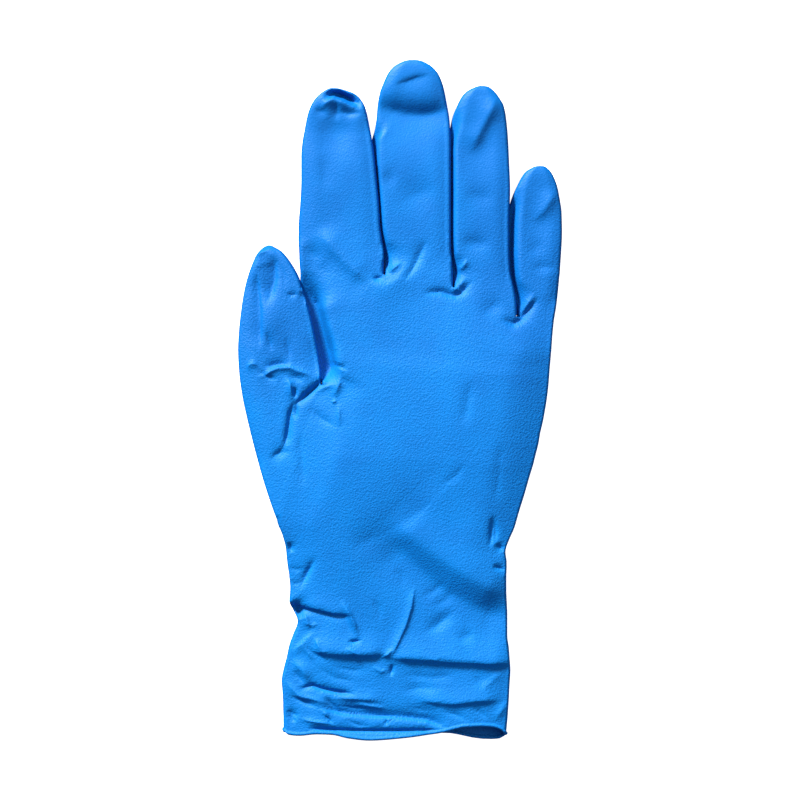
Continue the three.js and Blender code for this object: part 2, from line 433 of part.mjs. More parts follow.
const aroundLoop = (loop) => [...loop.top, loop.rightEdge, ...loop.under, loop.leftEdge, loop.top[0]];

// Carries a digit from its root loop through its sections to a closed tip.
function addDigit(film, root, digit, topShares, underShares) {
  let previous = root;
  for (const row of digit.sections.slice(1)) {
    const section = sectionAt(digit.sections, row.at);
    const loop = addLoop(film, sectionLoop(section, topShares, underShares, fingerRoll));
    film.strip(aroundLoop(previous), aroundLoop(loop));
    previous = loop;
  }
  const tipZ = TIP_RISE_SHARE * PALM_RISE;
  const tip = film.add(new THREE.Vector3(digit.tipX * PALM_WIDTH, digit.tipY * GLOVE_LENGTH, tipZ));
  const around = aroundLoop(previous);
  for (let at = 0; at + 1 < around.length; at += 1) {
    film.faces.push([around[at], around[at + 1], tip]);
  }
}

function outerFilm() {
  const film = new Film();
  const rows = BODY.map((row, at) => addLoop(film, bodyLoop(at)));
  for (let at = 0; at + 1 < rows.length; at += 1) {
    const open = BODY[at].thumb && BODY[at + 1].thumb;
    const right = (row) => [...row.top, row.rightEdge, ...row.under];
    film.strip(right(rows[at]), right(rows[at + 1]));
    if (!open) {
      const left = (row) => [row.under[row.under.length - 1], row.leftEdge, row.top[0]];
      film.strip(left(rows[at]), left(rows[at + 1]));
    }
  }
  const thumbRows = rows.filter((row, at) => BODY[at].thumb);
  const underLeft = (row) => row.under[row.under.length - 1];
  const thumbRoot = {
    top: thumbRows.map((row) => row.top[0]),
    rightEdge: thumbRows[thumbRows.length - 1].leftEdge,
    under: thumbRows.map(underLeft).reverse(),
    leftEdge: thumbRows[0].leftEdge,
  };
  const thumbShares = thumbRows.map((row, at) => at / (thumbRows.length - 1));
  const thumb = { sections: THUMB, ...THUMB_TIP };
  addDigit(film, thumbRoot, thumb, thumbShares, thumbShares);

  const last = rows[rows.length - 1];
  const perTop = TOP_COLUMNS.length - 1;
  const perUnder = UNDER_COLUMNS.length - 1;
  const leftToRight = [...last.under].reverse();
  const webs = [last.leftEdge];
  for (let finger = 1; finger < 4; finger += 1) {
    const above = film.points[last.top[finger * perTop]];
    const below = film.points[leftToRight[finger * perUnder]];
    webs.push(film.add(above.clone().lerp(below, 0.5)));
  }
  webs.push(last.rightEdge);
  FINGERS.forEach((finger, at) => {
    const root = {
      top: last.top.slice(at * perTop, (at + 1) * perTop + 1),
      rightEdge: webs[at + 1],
      under: leftToRight.slice(at * perUnder, (at + 1) * perUnder + 1).reverse(),
      leftEdge: webs[at],
    };
    addDigit(film, root, finger, TOP_COLUMNS, UNDER_COLUMNS);
  });
  return { film, mouth: aroundLoop(rows[0]).slice(0, -1) };
}

// Steps every point inward so that it lies one wall from each of its faces.
function innerPoints(film, mouth) {
  const normals = film.points.map(() => []);
  for (const face of film.faces) {
    const triangle = new THREE.Triangle(...face.map((at) => film.points[at]));
    const normal = triangle.getNormal(new THREE.Vector3());
    const area = triangle.getArea();
    face.forEach((at) => normals[at].push({ normal, area }));
  }
  const onMouth = new Set(mouth);
  return film.points.map((point, at) => {
    const whole = normals[at].reduce((sum, item) => sum + item.area, 0);
    const matrix = new THREE.Matrix3().multiplyScalar(SIDE_HOLD);
    const aim = new THREE.Vector3();
    for (const { normal, area } of normals[at]) {
      const weight = area / whole;
      const n = normal.toArray();
      for (let row = 0; row < 3; row += 1) {
        for (let column = 0; column < 3; column += 1) {
          matrix.elements[column * 3 + row] += weight * n[row] * n[column];
        }
      }
      aim.addScaledVector(normal, -weight * WALL * (1 + SIDE_HOLD));
    }
    const step = aim.applyMatrix3(matrix.invert());
    step.clampLength(0, WALL * LONGEST_STEP);
    if (onMouth.has(at)) {
      step.y = 0;
    }
    return point.clone().add(step);
  });
}

function gloveGeometry() {
  const { film, mouth } = outerFilm();
  film.points.forEach((point) => {
    const share = THREE.MathUtils.clamp((point.z - TUCKED_EDGE_TOP) / TUCKED_EDGE_TOP, 0, 1);
    point.z += foldLift(point.x, point.y) * share;
  });
  const count = film.points.length;
  const inner = innerPoints(film, mouth);
  const outerFaces = film.faces.length;
  inner.forEach((point) => film.add(point));
  for (let at = 0; at < outerFaces; at += 1) {
    const [a, b, c] = film.faces[at];
    film.faces.push([a + count, c + count, b + count]);
  }
  addRim(film, mouth, mouth.map((at) => at + count));
  const geometry = new THREE.BufferGeometry();
  geometry.setAttribute("position", new THREE.Float32BufferAttribute(film.points.flatMap((p) => p.toArray()), 3));
  geometry.setIndex(film.faces.flat());
  geometry.computeBoundingBox();
  const box = geometry.boundingBox;
  geometry.translate(-(box.min.x + box.max.x) / 2, -(box.min.y + box.max.y) / 2, -box.min.z);
  geometry.computeVertexNormals();
  return geometry;
}

// Round rolled rim that joins the outer face of the film to its inner face.
function addRim(film, outer, inner) {
  const back = RIM_RADIUS * Math.cos(Math.asin(WALL / 2 / RIM_RADIUS));
  const rows = [outer];
  for (const angle of RIM_ANGLES) {
    rows.push(outer.map((outerAt, at) => {
      const out = film.points[outerAt];
      const into = film.points[inner[at]];
      const across = out.clone().sub(into).normalize();
      const centre = out.clone().lerp(into, 0.5);
      centre.y -= back;
      centre.y += RIM_RADIUS * Math.cos(angle);
      return film.add(centre.addScaledVector(across, RIM_RADIUS * Math.sin(angle)));
    }));
  }
  rows.push(inner);
  const closed = (row) => [...row, row[0]];
  for (let at = 0; at + 1 < rows.length; at += 1) {
    film.strip(closed(rows[at + 1]), closed(rows[at]));
  }
}

const nitrile = new THREE.MeshStandardMaterial({ color: 0x2489e4, roughness: 0.5, metalness: 0 });
const glove = new THREE.Mesh(gloveGeometry(), nitrile);
glove.name = "glove";

const group = new THREE.Group();
group.name = "exam_glove";
group.add(glove);

export default group;
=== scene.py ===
"""Nitrile exam glove lying flat, palm film up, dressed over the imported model."""

from collections import namedtuple

import bpy
import numpy as np
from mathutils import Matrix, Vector


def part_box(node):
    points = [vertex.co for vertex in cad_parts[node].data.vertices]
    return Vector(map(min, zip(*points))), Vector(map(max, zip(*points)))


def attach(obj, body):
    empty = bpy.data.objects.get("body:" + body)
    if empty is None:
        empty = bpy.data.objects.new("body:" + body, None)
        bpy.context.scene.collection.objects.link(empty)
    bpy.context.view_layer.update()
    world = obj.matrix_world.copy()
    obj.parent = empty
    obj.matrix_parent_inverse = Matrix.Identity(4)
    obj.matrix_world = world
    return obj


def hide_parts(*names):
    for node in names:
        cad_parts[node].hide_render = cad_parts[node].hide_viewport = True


bl_info = {
    "name": "Nitrile exam glove",
    "version": (1, 0, 0),
    "blender": (4, 5, 0),
    "location": "View3D > Sidebar > Glove",
    "description": "Builds a dipped nitrile glove lying flat, with its folds and rolled rim",
    "category": "Object",
}

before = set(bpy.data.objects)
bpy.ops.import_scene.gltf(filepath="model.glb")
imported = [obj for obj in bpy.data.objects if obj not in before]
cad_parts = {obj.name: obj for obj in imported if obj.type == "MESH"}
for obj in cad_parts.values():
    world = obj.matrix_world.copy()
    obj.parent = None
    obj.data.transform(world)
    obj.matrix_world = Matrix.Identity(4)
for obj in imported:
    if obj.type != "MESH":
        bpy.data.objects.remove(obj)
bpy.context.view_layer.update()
GLOVE_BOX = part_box("glove")

# Lengths below are in millimetres, apart from the properties, the lamps, the table and the camera's
# frame, which are in metres as Blender's are.
MM = 0.001
PALM_RISE = 12.0
TINY = 1e-12  # keeps a length of zero from being divided by

# One section: its place along the part, its left and right end (X across from the palm's middle
# line, Y along from the rim, as shares of the palm's width and the glove's length), its rise as a
# share of the palm's rise, and how far its left side is tucked under and its right side laps over.
Section = namedtuple("Section", "at left_x left_y right_x right_y rise under over")

HAND = (
    Section(0, -0.4684, 0.0132, 0.4251, 0.0088, 0.8, 0, 0),
    Section(0.0401, -0.4693, 0.0368, 0.4311, 0.0368, 0.79, 0, 0),
    Section(0.0813, -0.4713, 0.0632, 0.4352, 0.0632, 0.78, 0, 0),
    Section(0.118, -0.4753, 0.0882, 0.4384, 0.0853, 0.767, 0, 0),
    Section(0.1433, -0.468, 0.1044, 0.4412, 0.1015, 0.767, 0, 0),
    Section(0.171, -0.4552, 0.1221, 0.4384, 0.1191, 0.767, 0, 0),
    Section(0.1974, -0.4452, 0.1397, 0.4352, 0.1353, 0.767, 0, 0),
    Section(0.2239, -0.4291, 0.1559, 0.4291, 0.1529, 0.767, 0, 0),
    Section(0.253, -0.4111, 0.175, 0.4291, 0.1706, 0.783, 0, 0),
    Section(0.2763, -0.4271, 0.1897, 0.4291, 0.1853, 0.8, 0, 0),
    Section(0.301, -0.4444, 0.2044, 0.4271, 0.2015, 0.817, 0, 0),
    Section(0.3308, -0.4412, 0.2235, 0.4251, 0.2206, 0.833, 0, 0),
    Section(0.364, -0.4464, 0.2441, 0.4251, 0.2426, 0.85, 0, 0),
    Section(0.395, -0.4544, 0.2647, 0.4263, 0.2618, 0.867, 0, 0),
    Section(0.4203, -0.4592, 0.2824, 0.4211, 0.2765, 0.883, 0, 0),
    Section(0.4501, -0.4741, 0.3029, 0.436, 0.2941, 0.9, 0, 0),
    Section(0.4799, -0.4945, 0.3235, 0.4572, 0.3118, 0.917, 0, 0),
    Section(0.506, -0.4794, 0.3401, 0.4695, 0.3272, 0.931, 0, 0),
    Section(0.5321, -0.4642, 0.3566, 0.4818, 0.3426, 0.944, 0, 0),
    Section(0.5583, -0.4491, 0.3732, 0.4953, 0.3581, 0.958, 0, 0),
    Section(0.5844, -0.434, 0.3897, 0.5074, 0.3735, 0.972, 0, 0),
    Section(0.6105, -0.4188, 0.4062, 0.5194, 0.389, 0.986, 0, 0),
    Section(0.6367, -0.4037, 0.4228, 0.5324, 0.4044, 1, 0, 0),
    Section(0.6626, -0.3885, 0.4393, 0.5429, 0.4199, 1, 0, 0),
    Section(0.6886, -0.3734, 0.4559, 0.5535, 0.4353, 1, 0, 0),
    Section(0.7143, -0.3583, 0.4724, 0.5605, 0.4507, 1, 0, 0),
    Section(0.7402, -0.3431, 0.489, 0.5705, 0.4662, 1, 0, 0),
    Section(0.766, -0.328, 0.5055, 0.5785, 0.4816, 1, 0, 0),
    Section(0.7917, -0.3128, 0.5221, 0.5856, 0.4971, 1, 0, 0),
    Section(0.8147, -0.335, 0.5368, 0.5908, 0.5118, 1, 0.6, 0),
    Section(0.8401, -0.3429, 0.5529, 0.5952, 0.5279, 1, 1, 0),
    Section(0.8735, -0.359, 0.5794, 0.5984, 0.5441, 0.967, 1, 0),
    Section(0.9081, -0.377, 0.6074, 0.6024, 0.5603, 0.933, 1, 0),
    Section(0.9404, -0.3939, 0.6353, 0.6056, 0.5735, 0.883, 1, 0),
    Section(0.9691, -0.4011, 0.6603, 0.608, 0.5853, 0.833, 0.8, 0),
    Section(1, -0.4011, 0.6882, 0.6104, 0.5971, 0.767, 0, 0),
)
THUMB_ROOT = (0.4799, 0.7917)  # where HAND opens into the thumb
INDEX = (
    Section(0, -0.4011, 0.6882, -0.0654, 0.6816, 0.767, 0, 0.6),
    Section(0.0476, -0.4043, 0.7, -0.0656, 0.6956, 0.75, 0, 1),
    Section(0.1099, -0.4059, 0.7162, -0.066, 0.7132, 0.733, 0, 1),
    Section(0.175, -0.4083, 0.7338, -0.0714, 0.7309, 0.717, 0, 1),
    Section(0.2456, -0.4083, 0.7529, -0.0786, 0.75, 0.708, 0, 1),
    Section(0.3702, -0.4019, 0.7853, -0.0846, 0.7853, 0.708, 0, 1),
    Section(0.5111, -0.3971, 0.8235, -0.0943, 0.8235, 0.708, 0, 1),
    Section(0.6412, -0.3971, 0.8588, -0.1043, 0.8588, 0.708, 0, 1),
    Section(0.7171, -0.3922, 0.8794, -0.1123, 0.8794, 0.708, 0, 1),
    Section(0.7821, -0.3834, 0.8971, -0.1211, 0.8971, 0.692, 0, 0.6),
    Section(0.8471, -0.3742, 0.9147, -0.1303, 0.9147, 0.667, 0, 0.2),
    Section(0.9013, -0.361, 0.9294, -0.1404, 0.9294, 0.617, 0, 0),
    Section(0.9446, -0.3425, 0.9412, -0.1584, 0.9412, 0.533, 0, 0),
    Section(0.9745, -0.3209, 0.9493, -0.1825, 0.9493, 0.433, 0, 0),
    Section(1, -0.2968, 0.9551, -0.2266, 0.9551, 0.317, 0, 0),
)
MIDDLE = (
    Section(0, -0.0654, 0.6816, 0.2114, 0.6632, 0.767, 0, 0.6),
    Section(0.0442, -0.0668, 0.6956, 0.2106, 0.6779, 0.75, 0.6, 1),
    Section(0.1011, -0.0725, 0.7132, 0.208, 0.6971, 0.733, 1, 1),
    Section(0.1653, -0.0822, 0.7309, 0.2029, 0.7206, 0.717, 1, 1),
    Section(0.2359, -0.0943, 0.75, 0.2021, 0.7471, 0.717, 1, 1),
    Section(0.3493, -0.1019, 0.7853, 0.2021, 0.7853, 0.717, 1, 1),
    Section(0.4671, -0.1099, 0.8235, 0.2021, 0.8235, 0.717, 1, 1),
    Section(0.5759, -0.1163, 0.8588, 0.2021, 0.8588, 0.717, 1, 1),
    Section(0.6393, -0.1151, 0.8794, 0.2017, 0.8794, 0.717, 1, 1),
    Section(0.694, -0.1023, 0.8971, 0.1997, 0.8971, 0.717, 0.4, 1),
    Section(0.7484, -0.0955, 0.9147, 0.1957, 0.9147, 0.708, 0.1, 0.8),
    Section(0.8028, -0.0914, 0.9324, 0.1877, 0.9324, 0.7, 0, 0.3),
    Section(0.8572, -0.0826, 0.95, 0.1789, 0.95, 0.683, 0, 0),
    Section(0.9071, -0.0666, 0.9662, 0.1676, 0.9662, 0.633, 0, 0),
    Section(0.9479, -0.0497, 0.9794, 0.1508, 0.9794, 0.55, 0, 0),
    Section(0.9796, -0.0241, 0.9897, 0.1243, 0.9897, 0.45, 0, 0),
    Section(1, 0.01, 0.9963, 0.0922, 0.9963, 0.317, 0, 0),
)
RING = (
    Section(0, 0.2114, 0.6632, 0.4668, 0.6213, 0.767, 0, 0.6),
    Section(0.0498, 0.2096, 0.6779, 0.4645, 0.6382, 0.75, 0.6, 1),
    Section(0.1156, 0.201, 0.6971, 0.456, 0.6603, 0.733, 1, 1),
    Section(0.1984, 0.1893, 0.7206, 0.4396, 0.6882, 0.717, 1, 1),
    Section(0.2911, 0.1865, 0.7471, 0.4356, 0.7206, 0.717, 1, 1),
    Section(0.4161, 0.1865, 0.7853, 0.4356, 0.7618, 0.717, 1, 1),
    Section(0.5504, 0.1865, 0.8235, 0.4396, 0.8088, 0.717, 1, 0.6),
    Section(0.6754, 0.1865, 0.8588, 0.4356, 0.8529, 0.717, 1, 0.2),
    Section(0.7472, 0.1893, 0.8794, 0.4328, 0.8779, 0.717, 1, 0),
    Section(0.8051, 0.1989, 0.8971, 0.4291, 0.8971, 0.708, 0.6, 0),
    Section(0.8607, 0.2086, 0.9147, 0.4239, 0.9147, 0.683, 0.2, 0),
    Section(0.9073, 0.2246, 0.9294, 0.4171, 0.9294, 0.633, 0, 0),
    Section(0.9513, 0.243, 0.9434, 0.3967, 0.9434, 0.55, 0, 0),
    Section(0.9815, 0.2667, 0.9529, 0.377, 0.9529, 0.45, 0, 0),
    Section(1, 0.2968, 0.9584, 0.359, 0.9584, 0.317, 0, 0),
)
LITTLE = (
    Section(0, 0.4668, 0.6213, 0.6104, 0.5971, 0.75, 0, 0),
    Section(0.0745, 0.4625, 0.6382, 0.6152, 0.6147, 0.733, 0.6, 0),
    Section(0.1663, 0.448, 0.6603, 0.6245, 0.6353, 0.717, 1, 0),
    Section(0.2839, 0.4291, 0.6882, 0.6329, 0.6618, 0.7, 1, 0),
    Section(0.4355, 0.4227, 0.7206, 0.6417, 0.7, 0.692, 1, 0),
    Section(0.6062, 0.4243, 0.7529, 0.6485, 0.7471, 0.683, 1, 0),
    Section(0.72, 0.4316, 0.7765, 0.6465, 0.7765, 0.683, 0.9, 0),
    Section(0.8086, 0.4476, 0.7971, 0.6377, 0.7971, 0.667, 0.3, 0),
    Section(0.8786, 0.4668, 0.8132, 0.6289, 0.8132, 0.6, 0, 0),
    Section(0.9356, 0.4853, 0.8265, 0.616, 0.8265, 0.517, 0, 0),
    Section(0.9768, 0.5053, 0.836, 0.6008, 0.836, 0.417, 0, 0),
    Section(1, 0.5294, 0.8412, 0.5856, 0.8412, 0.317, 0, 0),
)
THUMB = (
    Section(0, -0.4945, 0.3235, -0.3128, 0.5221, 0.967, 0, 0),
    Section(0.0558, -0.5194, 0.3485, -0.3172, 0.5287, 0.883, 0, 0.5),
    Section(0.1406, -0.5519, 0.3853, -0.3184, 0.5412, 0.833, 0, 1),
    Section(0.2389, -0.5832, 0.4265, -0.3233, 0.5574, 0.8, 0, 1),
    Section(0.3394, -0.6112, 0.4676, -0.3305, 0.575, 0.783, 0, 1),
    Section(0.4398, -0.6337, 0.5059, -0.3417, 0.5956, 0.767, 0, 1),
    Section(0.5369, -0.6465, 0.5412, -0.3545, 0.6176, 0.75, 0, 1),
    Section(0.6285, -0.6509, 0.5735, -0.3698, 0.6397, 0.733, 0, 1),
    Section(0.7051, -0.6473, 0.6, -0.3874, 0.6588, 0.717, 0, 1),
    Section(0.7765, -0.6405, 0.625, -0.4019, 0.6765, 0.7, 0, 0.6),
    Section(0.8332, -0.6321, 0.6456, -0.4187, 0.6897, 0.683, 0, 0.2),
    Section(0.8864, -0.6225, 0.6647, -0.4396, 0.7022, 0.633, 0, 0),
    Section(0.9334, -0.6096, 0.6824, -0.4612, 0.7125, 0.567, 0, 0),
    Section(0.9679, -0.5964, 0.6963, -0.4789, 0.7191, 0.467, 0, 0),
    Section(1, -0.5807, 0.7103, -0.5029, 0.7241, 0.325, 0, 0),
)
FINGERS = (INDEX, MIDDLE, RING, LITTLE)
FINGER_TIPS = ((-0.2687, 0.9588), (0.0501, 1.0), (0.3289, 0.9618), (0.5615, 0.8441))
THUMB_TIP = (-0.5414, 0.726)

# Where the fingers part and the palm's two sides, in the same shares.
CROTCH_X = np.array([rows[0].left_x for rows in FINGERS] + [LITTLE[0].right_x])
CROTCH_Y = np.array([rows[0].left_y for rows in FINGERS] + [LITTLE[0].right_y])

# Wavy rim across the palm, in the same shares: film on top, film below.
Lip = namedtuple("Lip", "x top bottom")
LIP = (
    Lip(-0.4684, 0.0206, 0.0162),
    Lip(-0.4532, 0.0125, 0.014),
    Lip(-0.4051, 0.0109, 0.0125),
    Lip(-0.3369, 0.0132, 0.0125),
    Lip(-0.2727, 0.0125, 0.0118),
    Lip(-0.2045, 0.0074, 0.0118),
    Lip(-0.1223, 0.0044, 0.0118),
    Lip(0.0, 0.0074, 0.0118),
    Lip(0.1243, 0.0132, 0.0103),
    Lip(0.1725, 0.0165, 0.0103),
    Lip(0.2086, 0.0199, 0.0096),
    Lip(0.2567, 0.0235, 0.0059),
    Lip(0.3249, 0.0244, 0.0015),
    Lip(0.369, 0.0232, 0.001),
    Lip(0.4011, 0.0191, 0.0021),
    Lip(0.4251, 0.0125, 0.0059),
)

